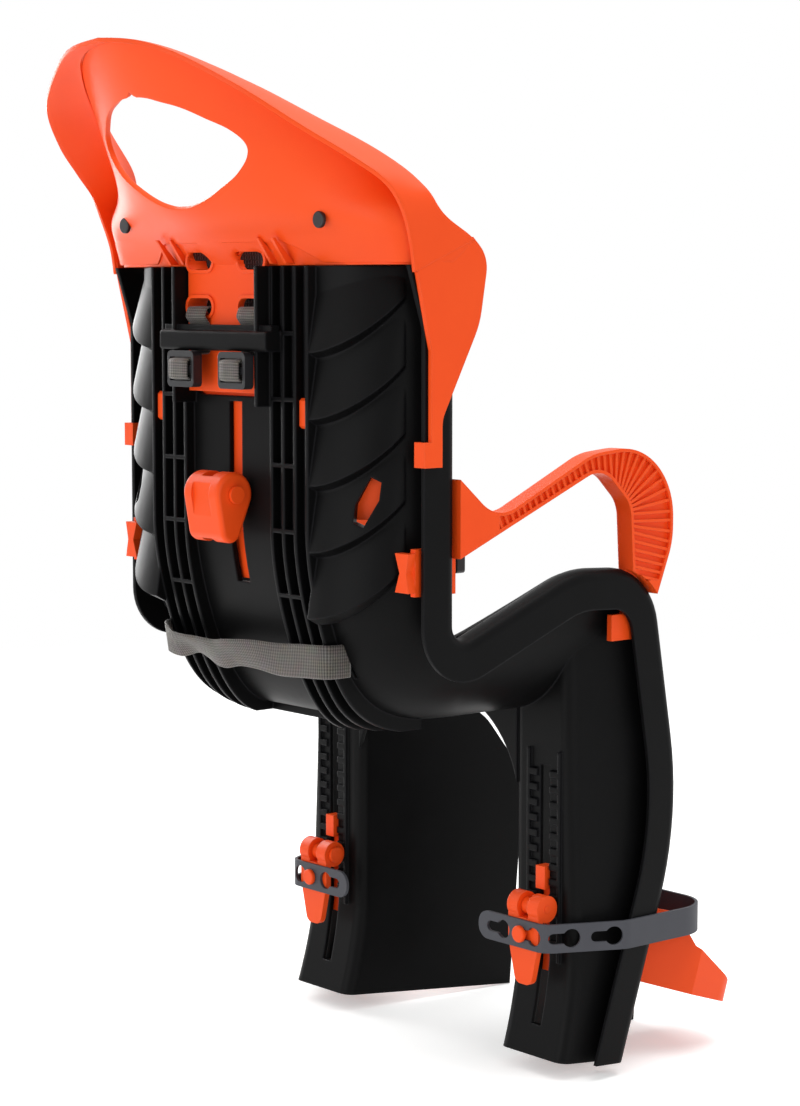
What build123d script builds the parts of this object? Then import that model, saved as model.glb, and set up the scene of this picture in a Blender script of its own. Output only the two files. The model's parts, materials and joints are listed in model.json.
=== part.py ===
from build123d import *
import math
import os

# Child bike seat, rear mounted. Millimetres, +X to the child's right, +Y forward, +Z up.
# The origin is the middle of the four fixing holes on the flat underside of the pan.

# General
WALL = 4.0
CLEAR = 0.5

# Bucket of the shell: outside sizes
SEAT_HALF = 170.0
BACK_REAR = -120.0
BACK_TOP = 346.0
BUCKET_FRONT = 260.0
PAN_BOTTOM = 8.0
PAN_FRONT = 122.0
# rise above the pan bottom, narrowing, set forward, corner radius
BUCKET_LEVELS = (
    (0.0, 66.0, 65.0, 60.0),
    (27.0, 27.0, 36.0, 66.0),
    (60.0, 9.0, 20.0, 70.0),
    (102.0, 2.0, 7.0, 74.0),
    (152.0, 0.0, 0.0, 75.0),
)

# Rolled rim: crown line in side view, from the top of the back to the foot of the leg guard
RIM_FRONT = -59.0
RIM_X = 162.0
RIM_WIDTH = 20.0
RIM_SKIRT = 31.0
RIM_INNER = 16.0
RIM_WALL = 3.5
RIM_ROUND = 9.0
HIP_Z = 74.0
HIP_ROUND = 10.0
THIGH = (60.0, 122.0)
THIGH_ROUND = 90.0
KNEE = (142.4, 118.0)
KNEE_ROUND = 52.0
SHIN = (177.0, -78.0)
SHIN_ROUND = 260.0
TOE_Y = 110.0

# Leg guards: plan of the channel
LEG_INNER_X = 95.0
LEG_REAR_X = 155.0
LEG_FLARE = 12.0
LEG_LIP_X = 172.0
LEG_REAR_Y = 77.0
LEG_FRONT_X = 72.0
LEG_FRONT_Y = 242.0
LEG_ROUND = 10.0
GUARD_EDGE = ((198.0, -30.0), (236.0, -82.0), (239.0, -120.0), (226.0, -285.0))
GUARD_ROUNDS = (16.0, 50.0, 20.0, 60.0, 2.0)
LEG_TOP = 75.0
LEG_BOTTOM = -278.0
LEG_STRAIGHT_TO = -186.0
LEG_KICK = 22.0
FOOT_SLOPE = 4.5
FOOT_REAR_Z = -260.0

GUSSET_X = 46.0
GUSSET_MIDDLE = (80.0, -19.0)
GUSSET_Z = -52.0

# Height ladder on the rear wall of each leg guard
LADDER_X = 130.0
LADDER_SLOT = 11.0
LADDER_TOP = -34.0
LADDER_BOTTOM = -236.0
TOOTH_PITCH = 12.0
TOOTH_COUNT = 12
TOOTH_OFFSET = 11.5
TOOTH_WIDTH = 9.0
TOOTH_PROUD = 2.5
LADDER_BORDER = 17.0
BORDER_WIDTH = 3.0
BORDER_PROUD = 2.5

# Back of the shell
RIB_PROUD = 8.0
RIB_WALL = 3.0
RIB_XS = (54.0, 68.0, 82.0, 96.0)
CROSS_RIB_PITCH = 48.0
CROSS_RIB_COUNT = 5
CROSS_RIB_Z = 104.0
NOTCH_HALF = 50.0
NOTCH_BOTTOM = 250.0
BAR_Z = 284.0
BAR_HEIGHT = 15.0
BAR_HALF = 66.0
BAR_PROUD = 22.0
FLANGE_PROUD = 20.0
SHINGLE_COUNT = 5
SHINGLE_PITCH = 48.0
SHINGLE_FIRST = 92.0
SHINGLE_RISE = 40.0
SHINGLE_PROUD = 9.0
SHINGLE_TURN = 56.0
CENTRE_SLOT_HALF = 8.0
CENTRE_SLOT_Z = (110.0, 246.0)
WINDOW_TURN = 36.0
WINDOW_Z = 178.0
WINDOW = (20.0, 36.0)

# Fixing holes under the pan
BOLT_SPACING = (100.0, 60.0)
BOLT_HOLE = 6.5
BOSS = (136.0, 92.0)

# Backrest
HEAD_HALF = 186.5
HEAD_WALL = 4.0
HEAD_FRONT = -20.0
HEAD_REAR = -330.0
HEAD_CORNER = 38.0
HEAD_BOW = 150.0
# rise above the shell, rear at the middle, rear at the corners
HEAD_LEVELS = (
    (0.0, -129.0, -106.0),
    (40.0, -172.0, -114.0),
    (78.0, -194.0, -158.0),
    (120.0, -213.0, -200.0),
    (172.0, -240.0, -230.0),
)
ARCH_SHOULDER = 75.0
ARCH_TOP = 160.0
WING_LINE = ((-146.0, 418.0), (-79.0, 395.0), (-34.0, 352.0), (-42.0, 305.0), (-77.0, 238.0))
WING_ROUNDS = (30.0, 60.0, 22.0, 60.0, 20.0)
WING_LAP = 12.0
HOOK_Z = 204.0
HOOK_HEIGHT = 18.0
HOOK_LIP = 3.0
HOOK_GRIP = 6.0
PANEL_EDGE_Y = -76.0
HOLE_CENTRE = (-192.0, 80.0)
HOLE_LEAN = 33.0
HOLE_LOW = 62.0
HOLE_HIGH = 45.0
HOLE_TIP = -6.0
HOLE_HALF = 104.0
HOLE_ROUND = 40.0
HOLE_TIP_ROUND = 22.0
HOLE_TOP_HALF = 40.0
HOLE_TOP_ROUND = 30.0
HOLE_NOTCH = 6.0
SLOT_ZS = (316.0, 350.0)
SLOT_WIDTH = 31.0
SLOT_HEIGHT = 13.0
SLOT_LIP = 2.5
STRAP_X = 32.0
CLIP_X = 89.0
CLIP_Z = 240.0
CLIP_NECK = 4.0
CLIP_HEAD = 10.0
CLIP_THICK = 4.5
TONGUE_HALF = 14.0
TONGUE_LEAN = 8.5
STEM_HALF = 6.0
BACK_LEVER_Z = 178.0
BACK_TRAVEL = 60.0
BACK_CAM = 16.5
BACK_EYE = 8.0
BACK_PIN_R = 3.5
FIN_XS = (55.0, 72.0)
FIN_HEIGHT = 26.0
BACK_LEVER_HALF = 22.0
BACK_TAB = 36.0
BACK_TAB_R = 9.0
PIN_HEAD_R = 6.5
PIN_HEAD = 3.0
PIN_FIT = 0.08

# Armrests: side view of the loop
ARM_X = (167.0, 185.0)
ARM_OUTER = ((-60.0, 195.8), (-23.0, 163.4), (72.0, 207.8), (157.5, 215.3), (157.5, 138.0), (130.0, 70.0))
ARM_OUTER_ROUNDS = (30.0, 60.0, 54.0, 60.0)
ARM_INNER = ((118.0, 70.0), (112.0, 168.0), (82.0, 197.5), (-60.0, 137.0))
ARM_INNER_ROUNDS = (24.0, 24.0)
ARM_EDGE = 2.5
ARM_RECESS = 3.5
ARM_RIB_WALL = 2.2
ARM_RIB_PITCH = 6.2
ARM_RIB_LINE = ((-18.0, 158.5), (74.0, 199.0), (136.0, 206.0), (136.0, 150.0), (127.0, 112.0))
ARM_RIB_ROUNDS = (40.0, 40.0, 50.0)
ARM_FILLET = 3.5
TAIL_WALL = 5.0
TAIL_Z = (112.0, 146.0)
TAIL_GAP = 3.0
TAIL_HEAD = 7.0
KNEE_TAIL_Y = (115.0, 128.0)
KNEE_TAIL_Z = 64.0
KNEE_TOE = (13.0, 20.0)

# Footrests, their cam levers and straps
FOOT_PIN_Z = -142.0
FOOT_CAM = 10.5
FOOT_LEVER_HALF = 17.0
FOOT_STEM_HALF = 5.0
FOOT_PIN_R = 2.8
FOOT_EYE = 6.5
FOOT_TAB = 60.0
FOOT_TAB_THICK = 5.0
FOOT_UP = 75.0
FOOT_DOWN = 20.0
CARRIER_HALF = 17.0
CARRIER_WALL = 4.5
CARRIER_Z = (-196.0, -116.0)
KEY_Z = (12.0, 30.0)
FOOT_TILT = 18.5
SOLE_PIVOT = (155.0, -212.0)
SOLE_WALL = 4.0
SOLE_REAR_X = (103.0, 149.0)
SOLE_FRONT_X = (103.0, 176.0)
# along the sole from its pivot: rear edge, end of the narrow part, start of the wide part, front edge
SOLE_REAR = -77.0
SOLE_NARROW = 8.0
SOLE_WIDE = 40.0
SOLE_FRONT = 94.0
SOLE_CORNER = 22.0
SOLE_RIM = 14.0
CUP_WALL = 3.5
# side view of the cup, along and above the sole
CUP_LINE = ((-60.0, 0.0), (-60.0, 14.0), (-20.0, 56.0), (20.0, 60.0), (36.0, 38.0), (94.0, 14.0), (94.0, 0.0))
STRAP_BAND = 22.0
STRAP_THICK = 2.5
STRAP_FREE_X = 82.0
STRAP_BEND = 26.0
STRAP_SIDE_Y = 60.0
STRAP_FRONT_Y = 210.0
STRAP_END_Y = 176.0
STRAP_ROUNDS = (14.0, 20.0, 34.0, 16.0)
BUTTON_R = 6.5
BUTTON_STEM_R = 3.6
BUTTON_HEAD = 3.0
KEYHOLE_R = 7.2
KEYHOLE_PITCH = 34.0

# Harness, webbing and pads
WEB_WIDTH = 25.0
WEB_THICK = 2.0
LOCK_SIZE = (33.0, 8.0, 27.0)
LOCK_Z = 270.0
PAD_HALF = 100.0
PAD_THICK = 15.0
PAD_LOW = 168.0
PAD_HIGH = 376.0
SEAT_PAD = (176.0, 148.0)
SEAT_PAD_THICK = 14.0
CROTCH_Y = 62.0
BUCKLE_Z = 84.0
BUCKLE = (44.0, 17.0, 46.0)
BUTTON_SIZE = (20.0, 20.0)
RETAIN_X = 101.0
RETAIN_Z = 58.0
STUD_X = 121.0
STUD_Z = 378.0
STUD_R = 6.0
TONGUE_X = 11.0
TONGUE_WIDTH = 14.0
TONGUE_THICK = 3.0
RETAIN_REAR = 5.0
RETAIN_DEPTH = 24.0
SEAT_PAD_BACK = 22.0
STUD_FACE = 14.0
STUD_SHANK = 2.5
STUD_HEAD = 3.0
STUD_LENGTH = 14.0


def parallel(points, radii, distance):
    """Moves a run of straight lines with rounded corners sideways, to the left for a positive distance."""
    directions = []
    for (a, b), (c, d) in zip(points, points[1:]):
        length = math.hypot(c - a, d - b)
        directions.append(((c - a) / length, (d - b) / length))
    moved = [(points[0][0] - directions[0][1] * distance, points[0][1] + directions[0][0] * distance)]
    rounds = []
    for index, radius in enumerate(radii):
        first, second = directions[index], directions[index + 1]
        corner = points[index + 1]
        share = distance / (1 + first[0] * second[0] + first[1] * second[1])
        moved.append((corner[0] - (first[1] + second[1]) * share, corner[1] + (first[0] + second[0]) * share))
        left_turn = first[0] * second[1] - first[1] * second[0] > 0
        rounds.append(radius - distance if left_turn else radius + distance)
    moved.append((points[-1][0] - directions[-1][1] * distance, points[-1][1] + directions[-1][0] * distance))
    return moved, rounds


def side_plate(face_line, x_from, x_to):
    """Extrudes a closed line drawn as (y, z) between two x values."""
    return extrude(Plane.YZ.offset(x_from) * make_face(face_line), x_to - x_from)


def block(x, y, z):
    """A box between pairs of x, y and z values."""
    size = [pair[1] - pair[0] for pair in (x, y, z)]
    centre = [(pair[1] + pair[0]) / 2 for pair in (x, y, z)]
    return Pos(*centre) * Box(*size)


def channel(points, radii, wall):
    """A face of even thickness beside a run of lines with rounded corners, on its left for a positive wall."""
    if not isinstance(radii, list):
        radii = [radii] * (len(points) - 2)
    moved, rounds = parallel(points, radii, wall)
    lines = FilletPolyline(*points, radius=radii).edges() + FilletPolyline(*moved, radius=rounds).edges()
    ends = Line(points[0], moved[0]).edges() + Line(points[-1], moved[-1]).edges()
    return make_face(lines + ends)


def both_sides(part):
    return part + mirror(part, Plane.YZ)


# Rim line

def rim_line():
    leg_slope = (SHIN[0] - TOE_Y) / (SHIN[1] - LEG_BOTTOM)
    toe = (TOE_Y - leg_slope * RIM_WALL, LEG_BOTTOM - RIM_WALL)
    points = [(RIM_FRONT, BACK_TOP), (RIM_FRONT, HIP_Z), THIGH, KNEE, SHIN, toe]
    radii = [HIP_ROUND, THIGH_ROUND, KNEE_ROUND, SHIN_ROUND]
    return points, radii


def rim_y(z):
    """Front of the leg guard's lip at a height below the knee."""
    points, radii = rim_line()
    knee, shin, toe = points[3], points[4], points[5]
    upper = knee[0] + (shin[0] - knee[0]) * (z - knee[1]) / (shin[1] - knee[1])
    lower = toe[0] + (shin[0] - toe[0]) * (z - toe[1]) / (shin[1] - toe[1])
    blend = 55.0
    gap = upper - lower
    return (upper + lower) / 2 - math.hypot(gap / 2, blend * 0.12)


# Seat shell

def bucket(grow, top):
    """The outside of the bucket, or its inside when it shrinks by the wall."""
    faces = []
    for rise, narrow, forward, radius in BUCKET_LEVELS:
        half = SEAT_HALF - narrow + grow
        rear = BACK_REAR + forward - grow
        front = BUCKET_FRONT + grow
        plan = RectangleRounded(2 * half, front - rear, radius + grow)
        faces.append(Pos(0, (front + rear) / 2, PAN_BOTTOM + rise - grow) * plan)
    low = loft(faces)
    high = extrude(faces[-1], top - (PAN_BOTTOM + BUCKET_LEVELS[-1][0] - grow))
    return low + high


def side_outline():
    """Everything behind and below the crown of the rim, in side view."""
    points, radii = rim_line()
    inner, rounds = parallel(points, radii, -RIM_WALL / 2)
    run = FilletPolyline(*inner, radius=rounds)
    rear = BACK_REAR - 60
    closing = Polyline(inner[-1], (rear, inner[-1][1]), (rear, BACK_TOP), inner[0])
    return side_plate(run.edges() + closing.edges(), -SEAT_HALF - 40, SEAT_HALF + 40)


def rim():
    points, radii = rim_line()
    path = Plane.YZ.offset(RIM_X) * FilletPolyline(*points, radius=radii)
    profile = channel(
        [(RIM_INNER, 0), (0, 0), (0, -RIM_WIDTH), (RIM_SKIRT, -RIM_WIDTH)], RIM_ROUND, RIM_WALL
    )
    start = Plane(origin=(RIM_X, RIM_FRONT, BACK_TOP), x_dir=(0, -1, 0), z_dir=(0, 0, -1))
    return sweep(start * profile, path)


def flare_z():
    """Height above the hook's travel where the skirt starts to widen rearwards."""
    return HOOK_Z + HOOK_HEIGHT + BACK_TRAVEL + 4


def skirt_flare():
    skirt = RIM_FRONT - RIM_SKIRT
    line = Polyline((skirt + 5, flare_z()), (skirt - WING_LAP - 2, BACK_TOP), (skirt + 5, BACK_TOP), close=True)
    return side_plate(line, RIM_X + RIM_WIDTH - RIM_WALL, RIM_X + RIM_WIDTH)


def leg_plan(z, kick):
    rear = LEG_REAR_Y - kick
    rear_x = LEG_REAR_X + LEG_FLARE * max(0, z / LEG_BOTTOM)
    points = [
        (LEG_FRONT_X, LEG_FRONT_Y), (LEG_INNER_X, rear), (rear_x, rear), (LEG_LIP_X, rim_y(z) - RIM_WALL / 2),
    ]
    return Pos(0, 0, z) * channel(points, LEG_ROUND, WALL)


def leg():
    straight = loft([leg_plan(LEG_TOP, 0), leg_plan(0, 0), leg_plan(-95, 0), leg_plan(LEG_STRAIGHT_TO, 0)])
    middle = (LEG_STRAIGHT_TO + LEG_BOTTOM) / 2
    kicked = loft([leg_plan(LEG_STRAIGHT_TO, 0), leg_plan(middle, LEG_KICK * 0.36), leg_plan(LEG_BOTTOM, LEG_KICK)])
    return straight + kicked


def corner_point(turn, radius, z):
    """A point on the rounded rear corner of the bucket, by its turn from straight back."""
    level = BUCKET_LEVELS[-1]
    centre_x = SEAT_HALF - level[3]
    centre_y = BACK_REAR + level[3]
    angle = math.radians(turn)
    reach = level[3] + radius
    return (centre_x + reach * math.sin(angle), centre_y - reach * math.cos(angle), z)


def shingle(index):
    """One overlapping step of the side panel: it stands proud at its lower edge and climbs outwards."""
    bottom = SHINGLE_FIRST + index * SHINGLE_PITCH
    faces = []
    for turn, proud in ((0.0, 0.8), (0.35, 1.0), (0.7, 1.0), (1.0, 0.35)):
        low = bottom + SHINGLE_RISE * turn ** 2
        high = min(low + SHINGLE_PITCH + 4, BACK_TOP - 1)
        corners = [
            corner_point(turn * SHINGLE_TURN, -WALL / 2, high),
            corner_point(turn * SHINGLE_TURN, SHINGLE_PROUD * proud, low),
            corner_point(turn * SHINGLE_TURN, -WALL / 2, low - 5),
        ]
        faces.append(make_face(Polyline(*corners, close=True)))
    return loft(faces)


def back_ribs():
    rear = BACK_REAR - RIB_PROUD
    uprights = Part()
    for x in RIB_XS:
        uprights += block((x - RIB_WALL / 2, x + RIB_WALL / 2), (rear - 1, -20), (-1, BACK_TOP))
    for index in range(CROSS_RIB_COUNT):
        z = CROSS_RIB_Z + index * CROSS_RIB_PITCH
        uprights += block((RIB_XS[0], RIB_XS[2]), (rear - 1, -60), (z, z + RIB_WALL))
    ribs = both_sides(uprights) & bucket(RIB_PROUD, BACK_TOP)
    return ribs - bucket(-WALL / 2, BACK_TOP + 50)


def crossbar():
    rear = BACK_REAR - BAR_PROUD
    front = BACK_REAR - RIB_PROUD - 1.5
    bar = block((-BAR_HALF, BAR_HALF), (rear, front), (BAR_Z, BAR_Z + BAR_HEIGHT))
    bar = fillet(bar.edges().filter_by(Axis.X), 3)
    ledge = block((-BAR_HALF, BAR_HALF), (rear + 5, front), (BAR_Z + BAR_HEIGHT - 5, BAR_Z + BAR_HEIGHT + 4))
    arms = block((RIB_XS[0] - RIB_WALL / 2, BAR_HALF), (front - 3, BACK_REAR + WALL / 2), (BAR_Z, BAR_Z + BAR_HEIGHT))
    flange = block(
        (NOTCH_HALF, NOTCH_HALF + RIB_WALL), (BACK_REAR - FLANGE_PROUD, BACK_REAR + WALL / 2), (NOTCH_BOTTOM - 6, BACK_TOP)
    )
    return bar + ledge + both_sides(arms + flange)


def ladder():
    """Slot, border and teeth on the rear wall of the right leg guard."""
    teeth = Part()
    for index in range(TOOTH_COUNT):
        z = LADDER_TOP - TOOTH_PITCH * (index + 0.5)
        for side in (-1, 1):
            x = LADDER_X + side * TOOTH_OFFSET
            inside = LEG_REAR_Y + WALL / 2
            proud = LEG_REAR_Y - TOOTH_PROUD
            line = Polyline(
                (inside, z + 0.36 * TOOTH_PITCH), (proud, z + 0.2 * TOOTH_PITCH), (proud, z - 0.2 * TOOTH_PITCH),
                (inside, z - 0.36 * TOOTH_PITCH), close=True,
            )
            teeth += side_plate(line, x - TOOTH_WIDTH / 2, x + TOOTH_WIDTH / 2)
    for side in (-1, 1):
        x = LADDER_X + side * LADDER_BORDER
        border = block(
            (x - BORDER_WIDTH / 2, x + BORDER_WIDTH / 2),
            (LEG_REAR_Y - BORDER_PROUD, LEG_REAR_Y + WALL / 2), (LEG_STRAIGHT_TO, LADDER_TOP + 12),
        )
        teeth += border
    clip = block((LEG_INNER_X, LEG_REAR_X + 10), (0, LEG_REAR_Y + WALL / 2), (LEG_BOTTOM, LEG_TOP))
    return teeth & clip


def gusset():
    """Curved web between the pan and the inner rear edge of the right leg guard."""
    arc = ThreePointArc((GUSSET_X, PAN_BOTTOM - 2), GUSSET_MIDDLE, (LEG_INNER_X + WALL / 2, GUSSET_Z))
    closing = Polyline(
        (LEG_INNER_X + WALL / 2, GUSSET_Z), (LEG_INNER_X + WALL / 2, PAN_BOTTOM + WALL / 2),
        (GUSSET_X, PAN_BOTTOM + WALL / 2), (GUSSET_X, PAN_BOTTOM - 2),
    )
    return extrude(Plane.XZ.offset(-LEG_REAR_Y) * make_face(arc.edges() + closing.edges()), -WALL)


def wheel_guard_outline():
    """What is cut from the wheel side of the leg guard, in front of its sloping edge."""
    ahead = LEG_FRONT_Y + 60
    points = [(PAN_FRONT, LEG_TOP + 1), (PAN_FRONT, -4), *GUARD_EDGE, (ahead, GUARD_EDGE[-1][1])]
    line = FilletPolyline(*points, radius=list(GUARD_ROUNDS))
    closing = Polyline(points[-1], (ahead, LEG_TOP + 1), points[0])
    return side_plate(line.edges() + closing.edges(), LEG_FRONT_X - 8, LEG_INNER_X + WALL + 1)


def side_window():
    """Slanted six-sided window through the right side panel."""
    angle = math.radians(WINDOW_TURN)
    plane = Plane(
        origin=corner_point(WINDOW_TURN, 0, WINDOW_Z), x_dir=(math.cos(angle), math.sin(angle), 0),
        z_dir=(math.sin(angle), -math.cos(angle), 0),
    )
    wide, tall = WINDOW[0] / 2, WINDOW[1] / 2
    half = [(-wide, -0.8 * tall), (-0.2 * wide, -tall), (0.9 * wide, 0.1 * tall)]
    face = make_face(Polyline(*half, *[(-x, -y) for x, y in half], close=True))
    return extrude(plane * face, 20, both=True)


def shell_openings():
    """Everything cut through the moulding after its ribs and rim are on."""
    notch = block((-NOTCH_HALF, NOTCH_HALF), (BACK_REAR - 5, BACK_REAR + 2 * WALL), (NOTCH_BOTTOM, BACK_TOP + 5))
    notch = fillet(notch.edges().filter_by(Axis.Y).group_by(Axis.Z)[0], 8)
    slot = block((-CENTRE_SLOT_HALF, CENTRE_SLOT_HALF), (BACK_REAR - 20, BACK_REAR + 30), CENTRE_SLOT_Z)
    guide = block(
        (CLIP_X - CLIP_NECK / 2 - 1, CLIP_X + CLIP_NECK / 2 + 1), (BACK_REAR - 5, BACK_REAR + 2 * WALL),
        (CLIP_Z - 12, CLIP_Z + 14 + BACK_TRAVEL),
    )
    retain = block(
        (RETAIN_X - CLEAR, RETAIN_X + WEB_THICK + CLEAR), (BACK_REAR - 10, BACK_REAR + 60),
        (RETAIN_Z - WEB_WIDTH / 2 - CLEAR, RETAIN_Z + WEB_WIDTH / 2 + CLEAR),
    )
    crotch = block((-WEB_WIDTH / 2 - 2, WEB_WIDTH / 2 + 2), (CROTCH_Y - 2.5, CROTCH_Y + 2.5), (-5, 60))
    bolts = Part()
    for x in (-1, 1):
        for y in (-1, 1):
            bolts += Pos(x * BOLT_SPACING[0] / 2, y * BOLT_SPACING[1] / 2, 0) * Cylinder(BOLT_HOLE / 2, 60)
    ground = Pos(0, LEG_REAR_Y, FOOT_REAR_Z) * Rot(-FOOT_SLOPE, 0, 0) * Pos(0, 0, -100) * Box(900, 900, 200)
    return [notch, slot, both_sides(guide), both_sides(retain), crotch, bolts, ground, both_sides(side_window()),
            both_sides(tail_slots())]


def seat_shell():
    inner = bucket(-WALL, BACK_TOP + 50)
    boss = extrude(RectangleRounded(*BOSS, 12), PAN_BOTTOM + 1)
    shell = (bucket(0, BACK_TOP) - inner) & side_outline()
    half = SEAT_HALF - WALL - 13
    shell -= block((-half, half), (PAN_FRONT, BUCKET_FRONT + 5), (-20, BACK_TOP + 10))
    shell -= both_sides(block((LEG_INNER_X + WALL, half), (LEG_REAR_Y + WALL, BUCKET_FRONT), (-20, 65)))
    slot = block(
        (LADDER_X - LADDER_SLOT / 2, LADDER_X + LADDER_SLOT / 2), (LEG_REAR_Y - 20, LEG_REAR_Y + 20),
        (LADDER_BOTTOM, LADDER_TOP),
    )
    one_leg = leg() - wheel_guard_outline() + ladder() - inner - slot
    shell += boss + back_ribs() + crossbar() + both_sides(one_leg + gusset() + rim() + skirt_flare())
    for index in range(SHINGLE_COUNT):
        shell += both_sides(shingle(index))
    for opening in shell_openings():
        shell -= opening
    return shell


# Backrest: orange panel that slides up and down in the shell

def head_plan(rise, apex, corner, filled=False):
    """A level of the leaning scoop: flat sides, rounded corners and a bowed rear."""
    points = [
        (HEAD_HALF, HEAD_FRONT), (HEAD_HALF, corner), (0, apex), (-HEAD_HALF, corner), (-HEAD_HALF, HEAD_FRONT),
    ]
    radii = [HEAD_CORNER, HEAD_BOW, HEAD_CORNER]
    z = BACK_TOP + CLEAR + rise
    if filled:
        line = FilletPolyline(*points, radius=radii)
        return Pos(0, 0, z) * make_face(line.edges() + Line(points[-1], points[0]).edges())
    return Pos(0, 0, z) * channel(points, radii, -HEAD_WALL)


def head_side():
    """Side view of the scoop and its wings, drawn from the crown down the front edge to the hook."""
    top = BACK_TOP + HEAD_LEVELS[-1][0]
    points = [(HEAD_REAR + 130, top + 40)] + list(WING_LINE) + [(WING_LINE[-1][0], HOOK_Z)]
    line = FilletPolyline(*points, radius=list(WING_ROUNDS))
    closing = Polyline(points[-1], (HEAD_REAR, HOOK_Z), (HEAD_REAR, top + 40), points[0])
    return side_plate(line.edges() + closing.edges(), -HEAD_HALF - 5, HEAD_HALF + 5)


def head_arch():
    """Rear view of the scoop: a round top over straight sides."""
    low = HOOK_Z - 20
    shoulder = BACK_TOP + ARCH_SHOULDER
    arch = ThreePointArc((-HEAD_HALF, shoulder), (0, BACK_TOP + ARCH_TOP), (HEAD_HALF, shoulder))
    sides = Polyline((HEAD_HALF, shoulder), (HEAD_HALF, low), (-HEAD_HALF, low), (-HEAD_HALF, shoulder))
    face = Plane.XZ * make_face(arch.edges() + sides.edges())
    return extrude(face, 400, both=True)


def hole_plane():
    lean = math.radians(HOLE_LEAN)
    return Plane(
        origin=(0, HOLE_CENTRE[0], BACK_TOP + HOLE_CENTRE[1]), x_dir=(1, 0, 0),
        z_dir=(0, -math.cos(lean), -math.sin(lean)),
    )


def hole_face():
    points = [
        (0, -HOLE_LOW), (HOLE_HALF, HOLE_TIP), (HOLE_TOP_HALF, HOLE_HIGH), (-HOLE_TOP_HALF, HOLE_HIGH),
        (-HOLE_HALF, HOLE_TIP),
    ]
    face = make_face(Polyline(*points, close=True))
    face = fillet(face.vertices().sort_by(Axis.Y)[0], HOLE_ROUND)
    face = fillet(face.vertices().sort_by(Axis.Y)[-2:], HOLE_TOP_ROUND)
    face = fillet(face.vertices().sort_by(Axis.X)[0], HOLE_TIP_ROUND)
    face = fillet(face.vertices().sort_by(Axis.X)[-1], HOLE_TIP_ROUND)
    notch = Polyline((-HOLE_NOTCH, HOLE_HIGH - 1), (HOLE_NOTCH, HOLE_HIGH - 1), (0, HOLE_HIGH + HOLE_NOTCH), close=True)
    return face + make_face(notch)


def inner_panel():
    """The part of the panel that runs inside the shell's back."""
    level = BUCKET_LEVELS[-1]
    low = PAN_BOTTOM + level[0] + WALL + 1
    plans = []
    for shrink in (WALL + CLEAR, WALL + CLEAR + HEAD_WALL):
        half = SEAT_HALF - shrink
        rear = BACK_REAR + shrink
        front = BUCKET_FRONT - shrink
        plans.append(Pos(0, (front + rear) / 2, low) * RectangleRounded(2 * half, front - rear, level[3] - shrink))
    ring = extrude(plans[0] - plans[1], BACK_TOP + CLEAR + HEAD_WALL - low)
    return ring & block((-SEAT_HALF, SEAT_HALF), (BACK_REAR, PANEL_EDGE_Y), (low, BACK_TOP + 20))


def shoulder():
    """Flat ledge that joins the inner panel to the scoop and sits on the shell's top edge."""
    level = BUCKET_LEVELS[-1]
    shrink = WALL + CLEAR + HEAD_WALL
    rear = BACK_REAR + shrink
    front = BUCKET_FRONT
    hollow = Pos(0, (front + rear) / 2, 0) * RectangleRounded(2 * (SEAT_HALF - shrink), front - rear, level[3] - shrink)
    hollow = Pos(0, 0, BACK_TOP) * extrude(hollow, 20)
    plate = extrude(head_plan(*HEAD_LEVELS[0], filled=True), HEAD_WALL)
    plate = plate - hollow
    return plate & block((-HEAD_HALF, HEAD_HALF), (HEAD_REAR, PANEL_EDGE_Y), (BACK_TOP, BACK_TOP + 20))


def notch_box():
    """Centre of the panel, which fills the notch and carries the harness slots."""
    half = NOTCH_HALF - 2
    low = NOTCH_BOTTOM + 3
    high = BACK_TOP + CLEAR + HEAD_WALL
    rear = BACK_REAR - RIB_PROUD
    front = BACK_REAR + WALL + CLEAR + HEAD_WALL
    outside = block((-half, half), (rear, front), (low, high))
    inside = block((-half + HEAD_WALL, half - HEAD_WALL), (rear + HEAD_WALL, front + 1), (low + HEAD_WALL, high + 1))
    return outside, inside


def harness_slots(grow, depth):
    slots = Part()
    for z in SLOT_ZS:
        for side in (-1, 1):
            face = SlotOverall(SLOT_WIDTH + 2 * grow, SLOT_HEIGHT + 2 * grow)
            slots += Pos(side * STRAP_X, 0, z) * (Plane.XZ * extrude(face, depth, both=True))
    return Pos(0, BACK_REAR, 0) * slots


def wing():
    """The right wing outside the rim, with the hook that runs on the rim's skirt."""
    inner_x = HEAD_HALF - HEAD_WALL
    skirt = RIM_FRONT - RIM_SKIRT
    high = BACK_TOP + CLEAR + HEAD_WALL
    edge = [(skirt - WING_LAP, high), (skirt + 3, flare_z()), (skirt + 3, HOOK_Z), (HEAD_FRONT, HOOK_Z), (HEAD_FRONT, high)]
    plate = side_plate(Polyline(*edge, close=True), inner_x, HEAD_HALF)
    skirt_in = RIM_X + RIM_WIDTH - RIM_WALL
    back = block((skirt_in - CLEAR - HOOK_LIP, HEAD_HALF), (skirt - CLEAR - HOOK_LIP, skirt - CLEAR), (HOOK_Z, HOOK_Z + HOOK_HEIGHT))
    lip = block((skirt_in - CLEAR - HOOK_LIP, skirt_in - CLEAR), (skirt - CLEAR - HOOK_LIP, skirt + HOOK_GRIP), (HOOK_Z, HOOK_Z + HOOK_HEIGHT))
    cheek = block((inner_x, HEAD_HALF), (skirt - CLEAR - HOOK_LIP, skirt + HOOK_GRIP), (HOOK_Z, HOOK_Z + HOOK_HEIGHT))
    return plate, back + lip + cheek


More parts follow.
